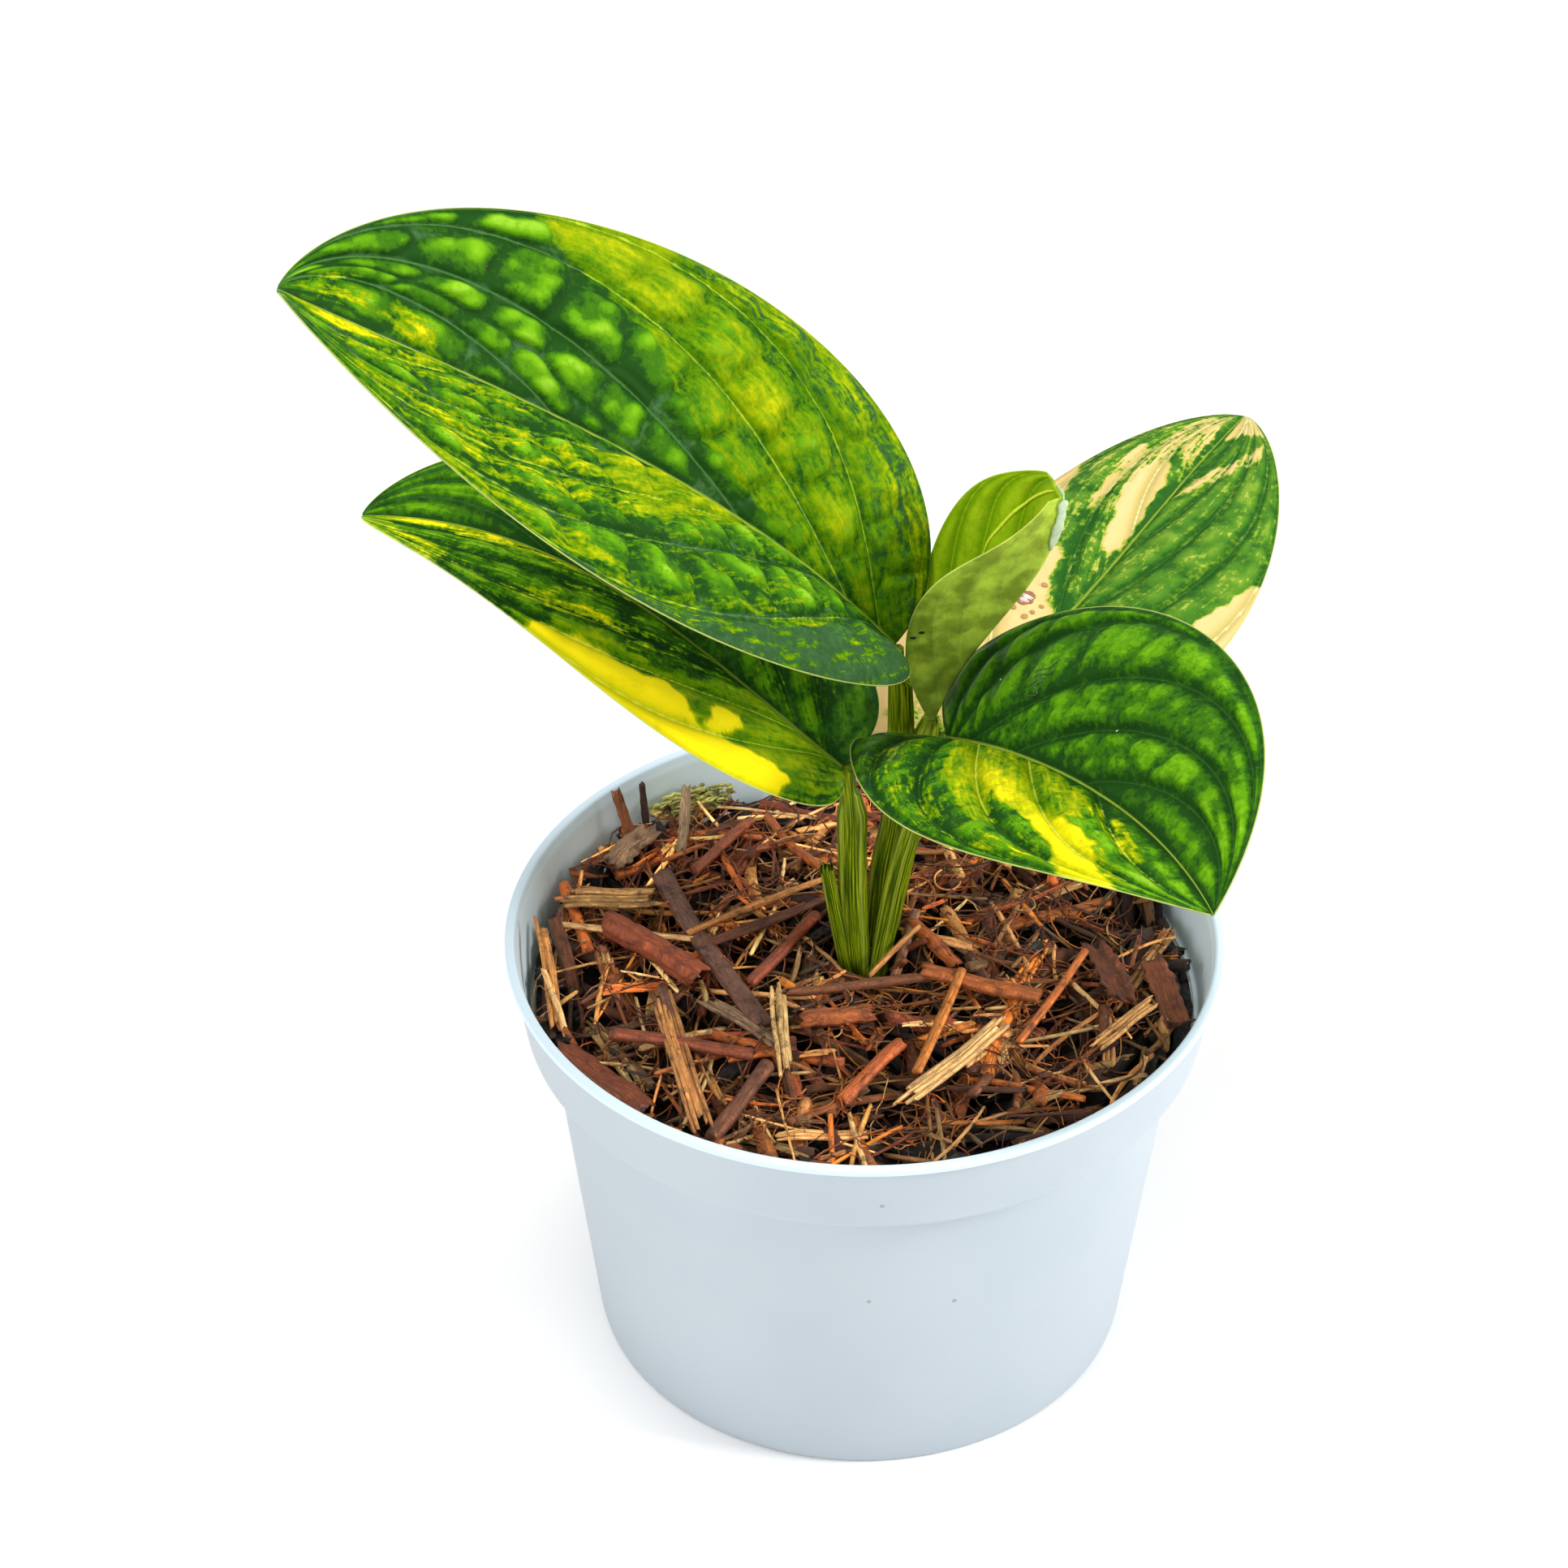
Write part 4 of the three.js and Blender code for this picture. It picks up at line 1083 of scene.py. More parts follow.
# Loose pieces in the order that they fall: heap, form, number, ranges of length, width and
# height over width, rings, bend, kinds with their shares, and whether they lie by the wall
LAYERS = [
    ("crumbs", "rod", 400, (3, 9), (1, 2.6), (0.3, 0.9), 4, 0.05,
     {"dark": 0.35, "brown": 0.4, "red": 0.25}),
    ("crumbs", "rod", 260, (4, 11), (1.2, 3), (0.4, 0.9), 4, 0.05, KINDS, True),
    ("husks", "strip", 55, (8, 19), (3.5, 6.5), (1, 1), 8, 0.05,
     {"brown": 0.4, "red": 0.3, "dark": 0.15, "orange": 0.15}),
    ("sticks", "rod", 150, (9, 26), (1, 2.8), (0.5, 1), 8, 0.07),
    ("husks", "tube", 50, (12, 28), (2.8, 5), (0.7, 1), 9, 0.03,
     {"red": 0.4, "orange": 0.3, "brown": 0.2, "tan": 0.1}),
    ("straw", "bundle", 55, (12, 30), (1.8, 3.8), (0.3, 0.5), 10, 0.04,
     {"tan": 0.45, "straw": 0.2, "orange": 0.2, "brown": 0.15}),
    ("sticks", "reed", 75, (12, 30), (1.6, 3.2), (0.6, 1), 10, 0.05,
     {"red": 0.35, "orange": 0.3, "brown": 0.2, "tan": 0.15}),
    ("sticks", "rod", 170, (12, 34), (0.6, 1.5), (0.6, 1), 10, 0.08),
    ("straw", "bundle", 26, (9, 20), (1.4, 3), (0.3, 0.5), 10, 0.04,
     {"tan": 0.5, "straw": 0.3, "orange": 0.2}),
    ("sticks", "rod", 170, (7, 24), (0.5, 1.3), (0.5, 1), 8, 0.05,
     {"tan": 0.4, "straw": 0.2, "orange": 0.22, "brown": 0.12, "grey": 0.06}),
]

# Pieces that stand out: both ends, width, height over width, colour and form
CHOSEN = [
    ((-53, 10, 88), (-34, -10, 90), 6, 0.9, "red", "tube"),
    ((-43, 28, 90), (-21, -23, 91), 4.6, 0.3, "purple", "reed"),
    ((-64, 18, 89), (-42, 17, 90), 5, 0.5, "tan", "bundle"),
    ((-62, 22, 90), (-44, 21, 90), 4, 0.4, "tan", "bundle"),
    ((-65, 11, 91), (-36, 5, 91.5), 2, 0.5, "straw", "rod"),
    ((-63, -22, 84), (-67.5, 4, 95), 2.4, 0.4, "tan", "bundle"),
    ((-60, -26, 85), (-66.5, -8, 94), 1.6, 0.5, "straw", "rod"),
    ((-60, -6, 85), (-65, 9, 94), 3, 0.4, "brown", "reed"),
    ((-66, -14, 85), (-68, -24, 94), 3, 0.4, "dark", "reed"),
    ((-54, 33, 89), (-46, 41, 92), 6.4, 0.5, "bark", "strip"),
    ((-47.5, 48.5, 100), (-46, 45, 86), 1.8, 0.6, "dark", "rod"),
    ((-36, 29, 88), (-24, 46, 89), 2.6, 0.8, "red", "reed"),
    ((-37, 6, 91), (-8, 26, 90), 1.8, 0.8, "tan", "rod"),
    ((-33, 3, 90), (-8, 20, 89), 2.6, 0.6, "brown", "bundle"),
    ((-46, -27, 91), (-29, -21, 91), 2, 0.6, "straw", "rod"),
    ((-52, -26, 90), (-23, -33, 90), 3, 0.8, "red", "reed"),
    ((-34, -14, 91), (-17, -30, 91), 3.4, 0.4, "grey", "bundle"),
    ((-42, -15, 91.5), (-32, -57, 89), 4.2, 0.5, "tan", "bundle"),
    ((6, -47, 89), (30, -21, 91), 3.8, 0.35, "straw", "bundle"),
    ((-16, -12, 89), (19, -6, 89.5), 2.6, 0.8, "brown", "rod"),
    ((-62, -27, 88), (-45, -47, 90), 6.4, 0.3, "red", "strip"),
    ((-5, -45, 88), (7, -28, 89), 3.2, 0.7, "orange", "reed"),
    ((-13, -22, 88), (1, -20, 88), 4.4, 0.9, "red", "tube"),
    ((-31, -56, 88), (-20, -36, 90), 3.4, 0.8, "brown", "reed"),
    ((-42, -9, 91.5), (-37, -30, 91), 2.6, 0.6, "purple", "reed"),
    ((-18, -15, 92), (-16, -38, 87), 3, 0.5, "straw", "bundle"),
    ((-24, -8, 87), (-10, 14, 88), 2.8, 0.8, "red", "reed"),
    ((12, -6, 88), (36, -15, 88), 4, 0.7, "orange", "reed"),
    ((10, -38, 88), (20, -8, 90), 2.2, 0.8, "orange", "reed"),
    ((31, -28, 89), (46, -1, 91), 1.8, 0.8, "orange", "reed"),
    ((48, 3, 87), (53, -17, 89), 6, 0.4, "brown", "strip"),
    ((60, -2, 89), (64, -22, 88), 6, 0.3, "brown", "strip"),
    ((46, -30, 89), (60, -15, 90), 3.4, 0.5, "tan", "bundle"),
    ((6.4, -2, 88), (11.2, 14, 93), 2.2, 0.8, "purple", "reed"),
    ((10.5, 11, 90), (19.5, -1, 88), 3.2, 0.9, "orange", "tube"),
    ((1, -4.4, 89), (11.5, 4.4, 95.4), 1.4, 0.7, "tan", "rod"),
    ((7.4, 6, 87), (13, 4, 92), 2.0, 0.7, "red", "rod"),
    ((5.8, 1.2, 86), (8.6, -2.6, 92), 1.8, 0.7, "brown", "rod"),
    ((-53, 44, 101), (-47, 40, 84), 2.6, 0.6, "brown", "rod"),
    ((-38, 52, 92), (-39, 37, 86), 2.6, 0.7, "grey", "rod"),
]


def round_section(sides, flat):
    """The corners of a rod's cross section, one unit wide."""
    angles = 2 * np.pi * (np.arange(sides) + 0.5) / sides
    return 0.5 * np.column_stack([np.cos(angles), flat * np.sin(angles)])


def shell_section(opening, thickness, steps, flat=1.0):
    """A curved wall, from a flat flake to an almost closed tube, one unit wide."""
    angles = np.linspace(-1.0, 1.0, steps) * (math.pi - opening)
    outer = np.column_stack([np.sin(angles), np.cos(angles)])
    inner = outer[::-1] * (1 - thickness)
    section = np.concatenate([outer, inner])
    section[:, 1] = (section[:, 1] - section[:, 1].mean()) * flat
    return section / np.ptp(section[:, 0])


class Heap:
    """Gathers many small loose pieces into one mesh."""

    def __init__(self):
        self.points = []
        self.quads = []
        self.tints = []
        self.grains = []
        self.total = 0

    def sweep(self, centres, across, upward, section, scale, tint, seed, torn=None):
        """Carries a cross section along a line; torn moves the ends' corners in and out."""
        wide, high = (scale[:, None] * side for side in section.T)
        points = centres[:, None] + across[:, None] * wide[..., None] + upward[:, None] * high[..., None]
        if torn is not None:
            direction = unit(np.gradient(centres, axis=0))
            for end in (0, -1):
                points[end] += direction[end] * torn[end][:, None]
        self.points.append(points.reshape(-1, 3))
        self.quads.append(closed_tube(*wide.shape, self.total))
        self.tints.append(np.tile(tint, (wide.size, 1)))
        place = np.broadcast_arrays(run_along(centres)[:, None], wide + high, float(seed))
        self.grains.append(np.stack(place, -1).reshape(-1, 3))
        self.total += wide.size

    def build(self, name, material):
        lists = (self.points, self.quads, self.tints, self.grains)
        points, quads, tints, grains = (np.concatenate(rows) for rows in lists)
        return build_object(name, points, quads, {"tint": tints, "grain": grains}, material)


def bed_relief(x, y):
    return 1.2 * np.sin(0.31 * x + 1.3) * np.cos(0.27 * y - 0.4)


class Ground:
    """The height of the pile so far, on a grid with a cell for each millimetre."""

    def __init__(self):
        self.half = GROUND_HALF
        axis = np.arange(-self.half, self.half + 1)
        self.height = BED_HEIGHT + bed_relief(*np.meshgrid(axis, axis, indexing="ij"))

    def cells(self, xy):
        return tuple(np.clip(np.rint(xy).astype(int) + self.half, 0, 2 * self.half).T)

    def under(self, xy):
        return self.height[self.cells(xy)]

    def raise_to(self, xy, z):
        cells = self.cells(xy)
        self.height[cells] = np.maximum(self.height[cells], z)


def shade_of(kind, rng, spread=(0.38, 1.6)):
    colours = PALETTE[kind]
    base = np.array(colours[rng.integers(len(colours))])
    return base * rng.uniform(*spread) * rng.uniform(0.94, 1.06, 3) * np.array(MIX_CAST)


def fits(xy, margin):
    """Whether a line stays inside the pot and clear of the stem."""
    inside = np.linalg.norm(xy, axis=1).max() < BED_REACH - margin
    return inside and np.linalg.norm(xy - np.array(STEM_PLACE), axis=1).min() > STEM_CLEAR


def add_form(heap, rng, form, centres, across, upward, width, flat, tint):
    """One piece of husk or straw along a line, in the form that its name says."""
    rings = len(centres)
    share = np.linspace(-1, 1, rings)
    seed = rng.uniform(0, 100)
    uneven = 1 + 0.1 * wobble(5 * share + seed, 11 * share)
    if form == "tube":
        section = shell_section(rng.uniform(0.15, 1.3), SHELL_WALL, 9, flat)
    elif form == "strip":
        section = shell_section(rng.uniform(2.2, 2.6), SHELL_WALL, 6) * rng.choice([-1, 1])
        uneven = uneven * (1 - 0.2 * np.abs(share) ** 5) * (1 + 0.08 * wobble(17 * share + seed))
    elif form == "reed":
        section = round_section(10, flat)
        uneven = 1 + 0.04 * wobble(4 * share + seed)
    else:
        section = round_section(8 if width > 2.2 else 6, flat)
        uneven = uneven * (1 - 0.2 * share ** 2)
    if form != "bundle":
        torn = (0.12 if form == "reed" else 0.32) * width * rng.uniform(-1, 1, (2, len(section)))
        heap.sweep(centres, across, upward, section, width * uneven, tint, seed, torn)
        return
    strands = max(3, int(round(width / STRAND_WIDTH)))
    for k in range(strands):
        offset = ((k + 0.5) / strands - 0.5) * width + 0.15 * rng.normal()
        first, left_off = (int(rng.integers(0, max(1, rings // 5))) for end in range(2))
        part = slice(first, rings - left_off)
        side, above, place = across[part], upward[part], share[part]
        line = centres[part] + side * offset
        line = line + above * (0.16 * width * flat * rng.normal())
        line = line + side * (0.12 * wobble(4 * place + k))[:, None]
        scale = 1.45 * width / strands * (1 - 0.35 * place ** 4)
        torn = 0.6 * rng.uniform(-1, 1, (2, 6))
        heap.sweep(line, side, above, round_section(6, 0.8), scale, tint * rng.uniform(0.75, 1.2),
                   seed + 3 * k, torn)


def lay_piece(heap, ground, rng, form, length, width, flat, kind, rings, bend, by_wall):
    """Lays one loose piece on the pile, resting on what is under it."""
    bearing = rng.uniform(0, 2 * math.pi)
    if by_wall:
        distance = BED_REACH - rng.uniform(0.6, 7.0)
        heading = bearing + math.pi / 2 + rng.uniform(-0.5, 0.5)
    else:
        distance = BED_REACH * math.sqrt(rng.uniform())
        heading = rng.uniform(0, math.pi)
    middle = distance * heading_of(bearing)
    direction = heading_of(heading)
    sideways = np.array([-direction[1], direction[0]])
    along = np.linspace(-0.5, 0.5, rings) * length
    arc = bend * length * (4 * (along / length) ** 2 - 0.5)
    xy = middle + along[:, None] * direction + arc[:, None] * sideways
    if not fits(xy, width / 2):
        return False
    share = np.linspace(-0.5, 0.5, int(length) + 2)
    fine = middle + share[:, None] * length * direction
    floor = ground.under(fine)
    slope = np.clip(np.polyfit(share, floor, 1)[0] + rng.uniform(-5, 5), -STEEPEST, STEEPEST)
    level = np.quantile(floor - slope * share, 0.72)
    high = width * flat / 2
    z = level + slope * along / length + 0.8 * high
    z = z - max(0.0, (z + high).max() - PILE_TOP)
    centres = np.column_stack([xy, z + 0.1 * width * wobble(along * 0.4 + middle[0])])
    across, upward = frame_along(centres, UP)
    lean = rng.uniform(-0.6, 0.6) * (1.0 if flat < 0.6 else 2.5)
    turned = across * math.cos(lean) + upward * math.sin(lean)
    upward = upward * math.cos(lean) - across * math.sin(lean)
    # Painted shade and light: pieces lower in the pile are darker, pieces towards the left brighter
    light = 0.03 + 1.7 * smoothstep(*LIT_HEIGHTS, z.mean())
    light = light * (0.97 + 0.7 * smoothstep(5, -60, middle[0]))
    add_form(heap, rng, form, centres, turned, upward, width, flat, light * shade_of(kind, rng))
    for side in np.arange(-0.5 * width, 0.5 * width + 0.1, 1.0):
        ground.raise_to(fine + side * sideways, z.mean() + slope * share + 0.6 * high)
    return True


def scatter(heap, ground, rng, form, count, lengths, widths, flats, rings, bend,
            kinds=KINDS, by_wall=False):
    """Lays a number of pieces of one form, each with its size and colour drawn at random."""
    placed = 0
    while placed < count:
        size = [rng.uniform(*limits) for limits in (lengths, widths, flats)]
        kind = rng.choice(list(kinds), p=list(kinds.values()))
        arc = rng.uniform(-bend, bend)
        placed += lay_piece(heap, ground, rng, form, *size, kind, rings, arc, by_wall)


def chosen_piece(heap, ground, rng, start, end, width, flat, kind, form):
    """A piece at a set place, with more rings so that it can bend and splinter."""
    share = np.linspace(0, 1, CHOSEN_RINGS)[:, None]
    centres = np.array(start) * (1 - share) + np.array(end) * share
    length = np.linalg.norm(centres[-1] - centres[0])
    direction = unit(centres[-1] - centres[0])
    reference = UP if abs(direction[2]) < 0.7 else np.array([0.0, -1.0, 0.0])
    across = np.tile(unit(np.cross(direction, reference)), (CHOSEN_RINGS, 1))
    upward = np.cross(across, direction)
    bow = 0.02 * length * np.sin(np.pi * share) * rng.uniform(-1, 1)
    centres = centres + across * bow + upward * (0.04 * width * wobble(share * 9 + start[0]))
    if abs(direction[2]) < 0.4:
        floor = ground.under(centres[:, :2])
        centres[:, 2] += np.quantile(floor - centres[:, 2], 0.95) + 0.35 * width * flat
    add_form(heap, rng, form, centres, across, upward, width, flat, shade_of(kind, rng, (1.05, 1.4)))
    ground.raise_to(centres[:, :2], centres[:, 2] + 0.3 * width * flat)


def lay_fibres(heap, ground, rng):
    """Thin root fibres that curl over the top of the mix."""
    rings = 12
    laid = 0
    while laid < FIBRES:
        distance = FIBRE_REACH * math.sqrt(rng.uniform())
        start = distance * heading_of(rng.uniform(0, 2 * math.pi))
        heading = rng.uniform(0, 2 * math.pi)
        step = rng.uniform(0.6, 2.2)
        turn = rng.uniform(-0.35, 0.35)
        xy = [start]
        for k in range(rings - 1):
            heading += turn + rng.uniform(-0.15, 0.15)
            xy.append(xy[-1] + step * heading_of(heading))
        xy = np.array(xy)
        if not fits(xy, 0.5):
            continue
        z = np.convolve(np.pad(ground.under(xy), 2, mode="edge"), np.ones(5) / 5, mode="valid") + 0.3
        centres = np.column_stack([xy, np.minimum(z + rng.uniform(0, 0.8), PILE_TOP)])
        kind = rng.choice(["tan", "orange", "brown", "red", "brown"])
        scale = np.full(rings, rng.uniform(0.16, 0.44))
        heap.sweep(centres, *frame_along(centres, UP), round_section(4, 1.0), scale,
                   shade_of(kind, rng), rng.uniform(0, 100))
        laid += 1


def bed(material):
    """The underlying bed down to the pot's floor, nearly black as painted shade in the gaps of the mix.
    """
    rings, sides = 30, 72
    angles = ring_angles(sides)
    profile = [(0.5, 4.0), (inner_radius(4.0) - 1.2, 4.0), (inner_radius(78) - 1.2, 78.0),
               (inner_radius(BED_HEIGHT) - 1.5, BED_HEIGHT - 1)]
    profile = np.array(profile + [(r, BED_HEIGHT) for r in np.linspace(67, 0.5, rings)])
    radius, height = profile[:, :1], profile[:, 1:]
    x, y = radius * np.cos(angles), radius * np.sin(angles)
    z = height + np.where(height > BED_HEIGHT - 0.5, bed_relief(x, y), 0.0)
    points = np.stack([x, y, z], -1).reshape(-1, 3)
    fields = {"tint": np.tile(BED_SHADE, (len(points), 1)), "grain": points}
    return build_object("mix_bed", points, closed_tube(len(profile), sides, 0, True), fields, material)


def mix(material):
    rng = np.random.default_rng(MIX_SEED)
    ground = Ground()
    heaps = {name: Heap() for name in ("crumbs", "sticks", "husks", "straw", "chosen", "fibres")}
    for name, *layer in LAYERS:
        scatter(heaps[name], ground, rng, *layer)
    for row in CHOSEN:
        chosen_piece(heaps["chosen"], ground, rng, *row)
    lay_fibres(heaps["fibres"], ground, rng)
    dress(bed(material), "potting_mix", "potting_mix")
    for name, heap in heaps.items():
        dress(heap.build("mix_" + name, material), "potting_mix", "potting_mix")


# Grain along the pieces; the stops above one are partly painted highlights
GRAIN_AND_HIGHLIGHT_RAMP = [(0.3, (0.14, 0.11, 0.09)), (0.42, (0.72, 0.66, 0.6)), (0.54, (1.12, 1.08, 1.0)),
              (0.68, (2.2, 2.2, 2.1))]
DARK_BLOTCH = (0.04, 0.018, 0.01)


def mix_material():
    """Fibrous husk and straw, each piece in its own tint with grain along it, whose brightest streaks are
    partly painted highlights.
    """
    paint = Paint("husk_and_straw")
    along, around, seed = paint.split(paint.vector("grain"))
    grain = paint.noise(paint.join(along * 0.1, around, seed), 2.8, 6.0, 0.75)
    blotch = paint.cloud(260.0, 5.0, 0.7)
    colour = paint.tinted(paint.vector("tint"), paint.ramp(grain, GRAIN_AND_HIGHLIGHT_RAMP))
    colour = paint.mix(paint.between(blotch, 0.52, 0.68, 0.0, 0.75), colour, DARK_BLOTCH)
    gloss = paint.between(blotch, 0.4, 0.6, 0.34, 0.7)
    return paint.finish(Base_Color=colour, Roughness=gloss, Specular_IOR_Level=0.6,
                        Normal=paint.bump(grain + blotch * 0.4, 0.0009, 0.9))


# Small marks on the leaves: whether they lie underneath, width, colour and course, as shares of
# the length and of the half width
SCAR = (0.3, 0.13, 0.05)
RING = (0.42, 0.23, 0.06)
TRACE = (0.048, 0.105, 0.042)
SPECK = (0.03, 0.012, 0.006)
MARK_RINGS = 24
MARK_THICKNESS = 0.2
MARKS = {
    "leaf_upper_left": [
        (0, 0.9, (0.02, 0.015, 0.01), 0.7325, 0.61, 0.735, 0.614, 0.7385, 0.618),
    ],
    "leaf_unfurling": [
        (1, 0.8, SPECK, 0.308, 0.95, 0.31, 0.9, 0.312, 0.86),
        (1, 0.8, SPECK, 0.33, 0.84, 0.334, 0.8, 0.338, 0.77),
        (1, 2.6, (0.5, 0.62, 0.4), 0.955, -0.4, 0.957, -0.18, 0.95, 0, 0.9, 0.02, 0.84, 0.03, 0.76,
         0.01),
        (0, 0.7, (0.62, 0.72, 0.03), 0.5, -0.5, 0.56, -0.55, 0.63, -0.556, 0.675, -0.556, 0.757, -0.556,
         0.846, -0.528, 0.913, -0.444, 0.95, -0.3),
    ],
    "leaf_front_right": [
        (0, 0.32, TRACE, 0.24, -0.37, 0.262, -0.35, 0.28, -0.37, 0.268, -0.41, 0.282, -0.45, 0.258,
         -0.5, 0.28, -0.52, 0.29, -0.56, 0.325, -0.6),
        (0, 0.3, TRACE, 0.25, -0.4, 0.268, -0.44, 0.262, -0.47, 0.3, -0.5, 0.3, -0.53),
        (0, 0.6, (0.7, 0.75, 0.65), 0.516, -0.32, 0.518, -0.317, 0.521, -0.314),
        (0, 0.4, (0.6, 0.65, 0.5), 0.165, -0.5, 0.167, -0.5, 0.169, -0.5),
    ],
    "leaf_back_right": [
        (0, 4, SCAR, 0.312, -0.285, 0.33, -0.28, 0.348, -0.275),
        (0, 3.2, (0.74, 0.6, 0.56), 0.316, -0.284, 0.33, -0.28, 0.344, -0.276),
        (0, 1.5, RING, 0.286, -0.2, 0.292, -0.2, 0.298, -0.2),
        (0, 1.3, RING, 0.296, -0.3, 0.3, -0.3, 0.305, -0.3),
        (0, 1.2, RING, 0.304, -0.18, 0.308, -0.18, 0.312, -0.18),
        (0, 1.2, RING, 0.324, -0.16, 0.328, -0.16, 0.332, -0.16),
        (0, 1.6, RING, 0.37, -0.24, 0.374, -0.24, 0.378, -0.24),
    ],
}


def on_surface(grid, s_line, t_line, s, t):
    """Points of a blade's surface between its vertices."""
    i = np.interp(s, s_line, np.arange(len(s_line)))
    j = np.interp(t, t_line, np.arange(len(t_line)))
    a = np.minimum(i.astype(int), len(s_line) - 2)
    b = np.minimum(j.astype(int), len(t_line) - 2)
    u, v = (i - a)[:, None], (j - b)[:, None]
    near = (1 - v) * grid[a, b] + v * grid[a, b + 1]
    far = (1 - v) * grid[a + 1, b] + v * grid[a + 1, b + 1]
    return (1 - u) * near + u * far


def leaf_marks(material):
    """Lays every mark along its course, each a little above the one before it."""
    heap = Heap()
    share = np.linspace(-1, 1, MARK_RINGS)
    rows = [(name, *row) for name, marks in MARKS.items() for row in marks]
    for order, (name, below, width, tint, *course) in enumerate(rows):
        s_line, t_line, *grids = SURFACES[name]
        s, t = catmull(np.reshape(course, (-1, 2)), np.linspace(0, 1, MARK_RINGS)).T
        centres, ahead, aside = (on_surface(grids[below], s_line, t_line, s + a, t + b)
                                 for a, b in ((0, 0), (0.004, 0), (0, 0.01)))
        upward = unit(np.cross(aside - centres, ahead - centres)) * (-1 if below else 1)
        across = unit(np.cross(unit(np.gradient(centres, axis=0)), upward))
        spot = len(course) == 6
        scale = width * (np.sqrt(1 - 0.96 * share ** 2) if spot else 1 - 0.7 * share ** 4)
        if width > 2:
            scale = scale * (1 + 0.22 * wobble(7 * share + order, 17 * share))
        centres = centres + (0.05 + 0.012 * order) * upward
        heap.sweep(centres, across, upward, round_section(8, MARK_THICKNESS / width), scale, tint, 1.0)
    dress(heap.build("leaf_marks", material), "leaf")


def mark_material():
    paint = Paint("leaf_marks")
    uneven = paint.between(paint.cloud(900.0, 3.0, 0.6), 0.3, 0.7, 0.86, 1.08)
    colour = paint.tinted(paint.vector("tint"), paint.even(uneven))
    return paint.finish(Base_Color=colour, Roughness=0.5)


# Moss

MOSS_PLACE = np.array([-37.0, 55.2, 90.0])
MOSS_HALF = np.array([10.5, 3.0, 3.2])
MOSS_TURN = 0.42
MOSS_STRANDS = 260
MOSS_SEED = 3
MOSS_TINT = np.array([0.66, 0.7, 0.2])
MOSS_WARMTH = np.array([0.05, 0.0, 0.0])


def moss(material):
    """Short strands that wander about inside a flattened ball."""
    rng = np.random.default_rng(MOSS_SEED)
    heap = Heap()
    c, s = heading_of(MOSS_TURN)
    turn = np.array([[c, -s, 0], [s, c, 0], [0, 0, 1]])
    for k in range(MOSS_STRANDS):
        points = [unit(rng.normal(size=3)) * rng.uniform(0.3, 0.95)]
        heading = unit(rng.normal(size=3))
        for step in range(6):
            heading = unit(heading + 0.5 * rng.normal(size=3))
            points.append(points[-1] + 0.09 * heading)
        local = np.array(points)
        local = local / np.maximum(1.0, np.linalg.norm(local, axis=1, keepdims=True))
        centres = (local * MOSS_HALF) @ turn.T + MOSS_PLACE
        path = unit(np.gradient(centres, axis=0) + 1e-6)
        across = unit(np.cross(path, unit(rng.normal(size=3))))
        tint = MOSS_TINT * rng.uniform(0.5, 1.3) + MOSS_WARMTH * rng.uniform()
        heap.sweep(centres, across, np.cross(across, path), round_section(4, 0.6),
                   np.linspace(1.2, 0.5, 7), tint, rng.uniform(0, 50))
    dress(heap.build("moss_strands", material), "moss", "moss_tuft")


# Scene

def floor_material():
    paint = Paint("pale_floor")
    cloud = paint.cloud(6.0, 3.0, 0.5)
    colour = paint.mix(cloud, (0.94, 0.94, 0.94), (0.955, 0.955, 0.955))
    return paint.finish(Base_Color=colour, Roughness=0.7)


def set_floor():
    half, z = 6000.0, -0.02
    points = [(-half, -half, z), (half, -half, z), (half, half, z), (-half, half, z)]
    build_object("floor", points, [[0, 1, 2, 3]], None, floor_material())


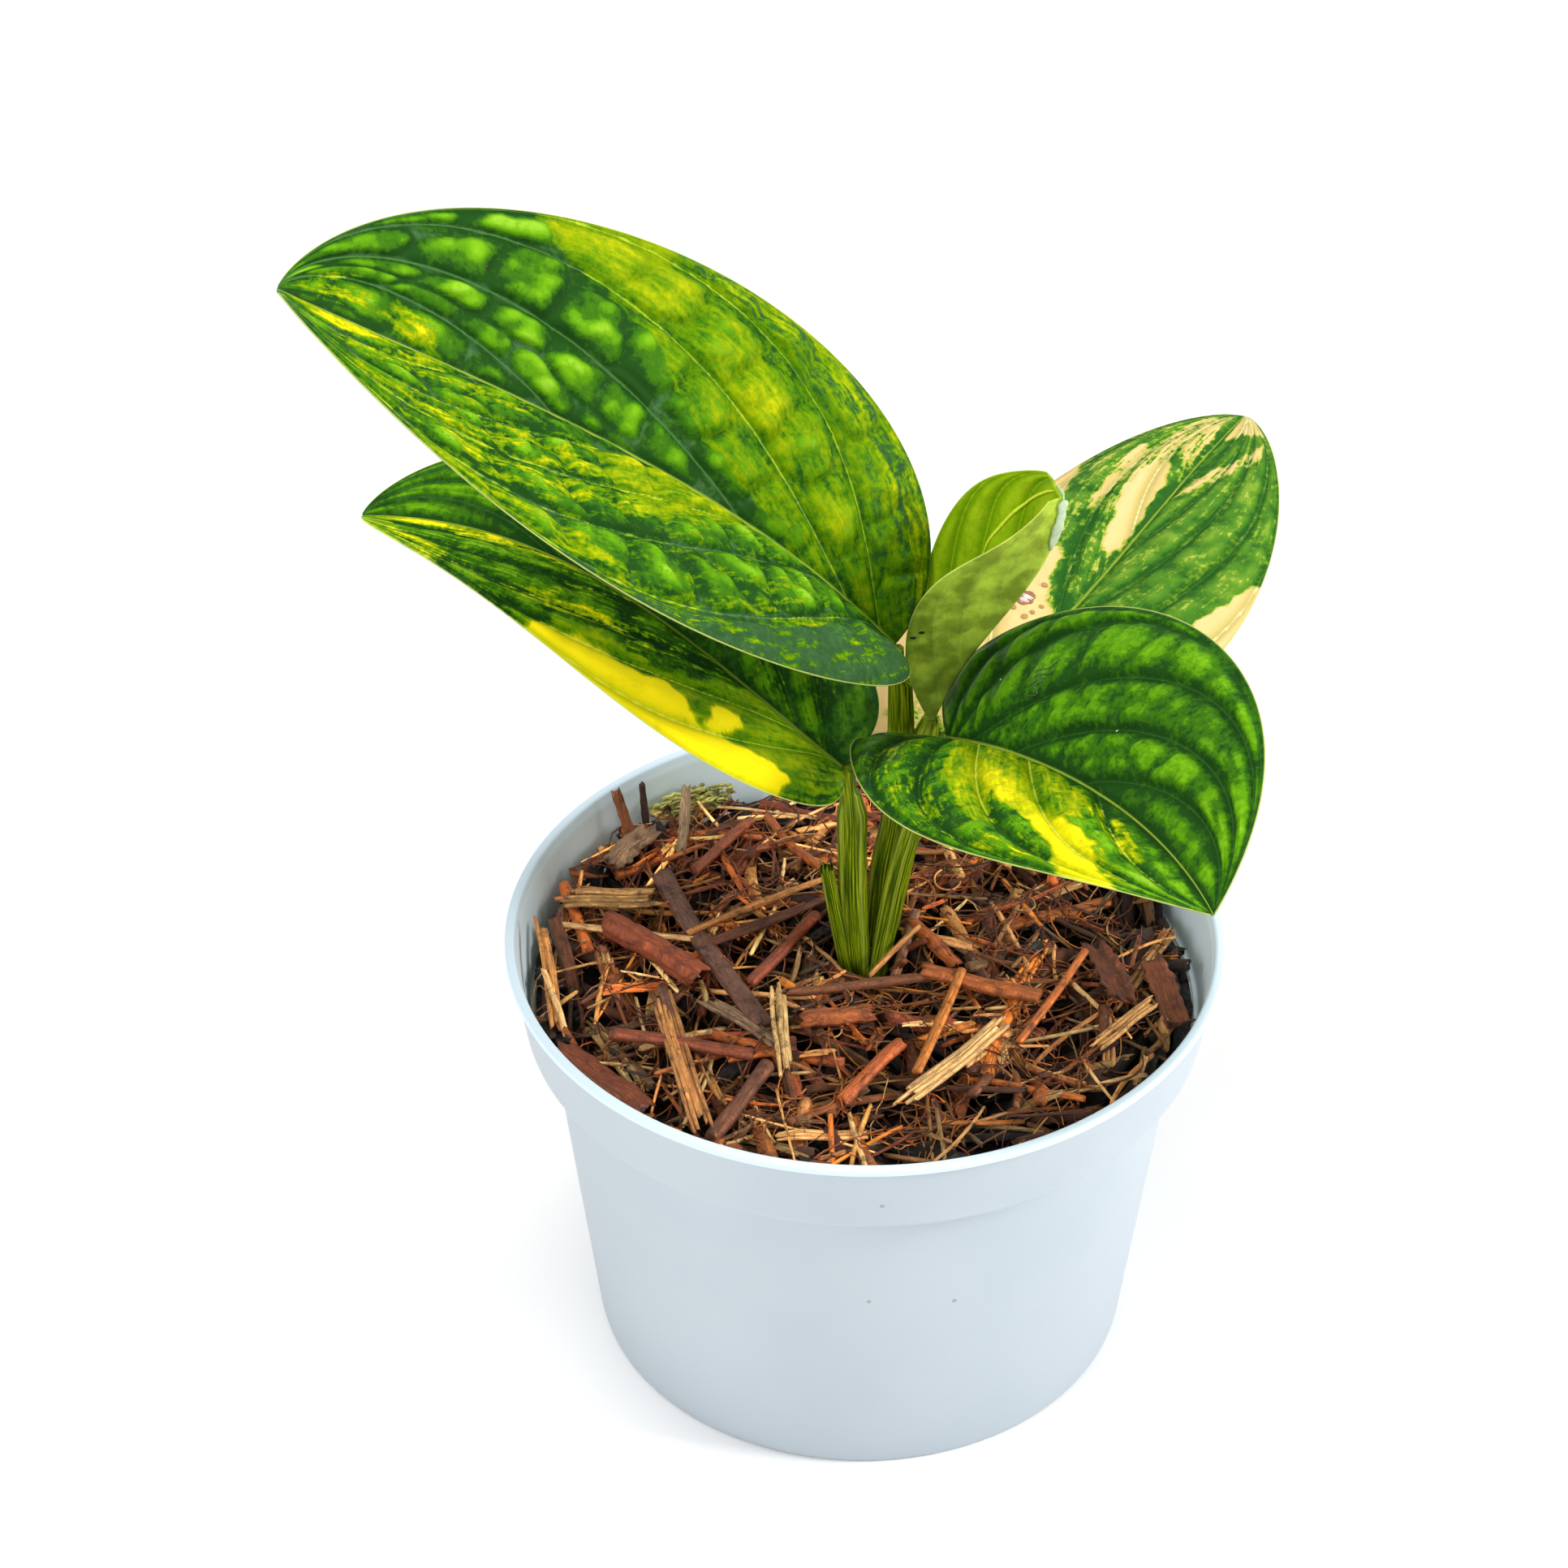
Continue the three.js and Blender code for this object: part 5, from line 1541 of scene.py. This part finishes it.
def set_camera():
    data = bpy.data.cameras.new("photo_camera")
    data.lens = LENS
    data.sensor_width = SENSOR
    data.sensor_fit = "HORIZONTAL"
    data.clip_end = 50.0
    camera = bpy.data.objects.new("photo_camera", data)
    back = np.array([0.0, -math.cos(ELEVATION), math.sin(ELEVATION)])
    camera.location = Vector((TARGET + DISTANCE * back) * MM)
    camera.rotation_euler = (math.pi / 2 - ELEVATION, 0.0, 0.0)
    bpy.context.scene.collection.objects.link(camera)
    bpy.context.scene.camera = camera


# Lights: name, place, width and power
LIGHTS = [
    ("key", (1250, -260, 820), 420, 16.0),
    ("fill", (-900, -900, 900), 600, 7.0),
    ("top", (-200, 0, 1300), 500, 9.0),
]
SKY = (1.0, 0.99, 0.97, 1.0)
SKY_STRENGTH = 0.66


def area_light(name, place, size, power):
    data = bpy.data.lights.new(name, "AREA")
    data.shape = "SQUARE"
    data.size = size * MM
    data.energy = power
    lamp = bpy.data.objects.new(name, data)
    lamp.location = Vector(np.array(place, float) * MM)
    aim = Vector((0.0, 0.0, 0.12)) - lamp.location
    lamp.rotation_euler = aim.to_track_quat("-Z", "Y").to_euler()
    bpy.context.scene.collection.objects.link(lamp)


def set_light():
    world = bpy.data.worlds.new("studio")
    world.use_nodes = True
    back = world.node_tree.nodes["Background"]
    back.inputs["Color"].default_value = SKY
    back.inputs["Strength"].default_value = SKY_STRENGTH
    bpy.context.scene.world = world
    for row in LIGHTS:
        area_light(*row)
    bpy.context.scene.view_settings.view_transform = "Standard"


set_camera()
set_light()
set_floor()

leaf_paints = {kind: leaf_material(kind) for kind in LEAF_RAMPS}
for leaf_name, leaf_facts in LEAVES.items():
    blade(leaf_name, leaf_facts, leaf_paints[leaf_facts["colours"]])

green = stalk_material()
for stalk_name, facts in STALKS.items():
    piece = stalk(stalk_name + "_stalk", facts["line"], green, sheath(*facts["sheath"]), facts["pale"])
    dress(piece, "petiole", stalk_name)
dress(stalk("stem_cane", CANE, green), "petiole", "stem")
dress(stalk("stem_stub", STUB, green, None, STUB_PALE, STUB_TEAR), "petiole", "stem")

pot(pot_material())
husk = mix_material()
mix(husk)
moss(husk)
leaf_marks(mark_material())
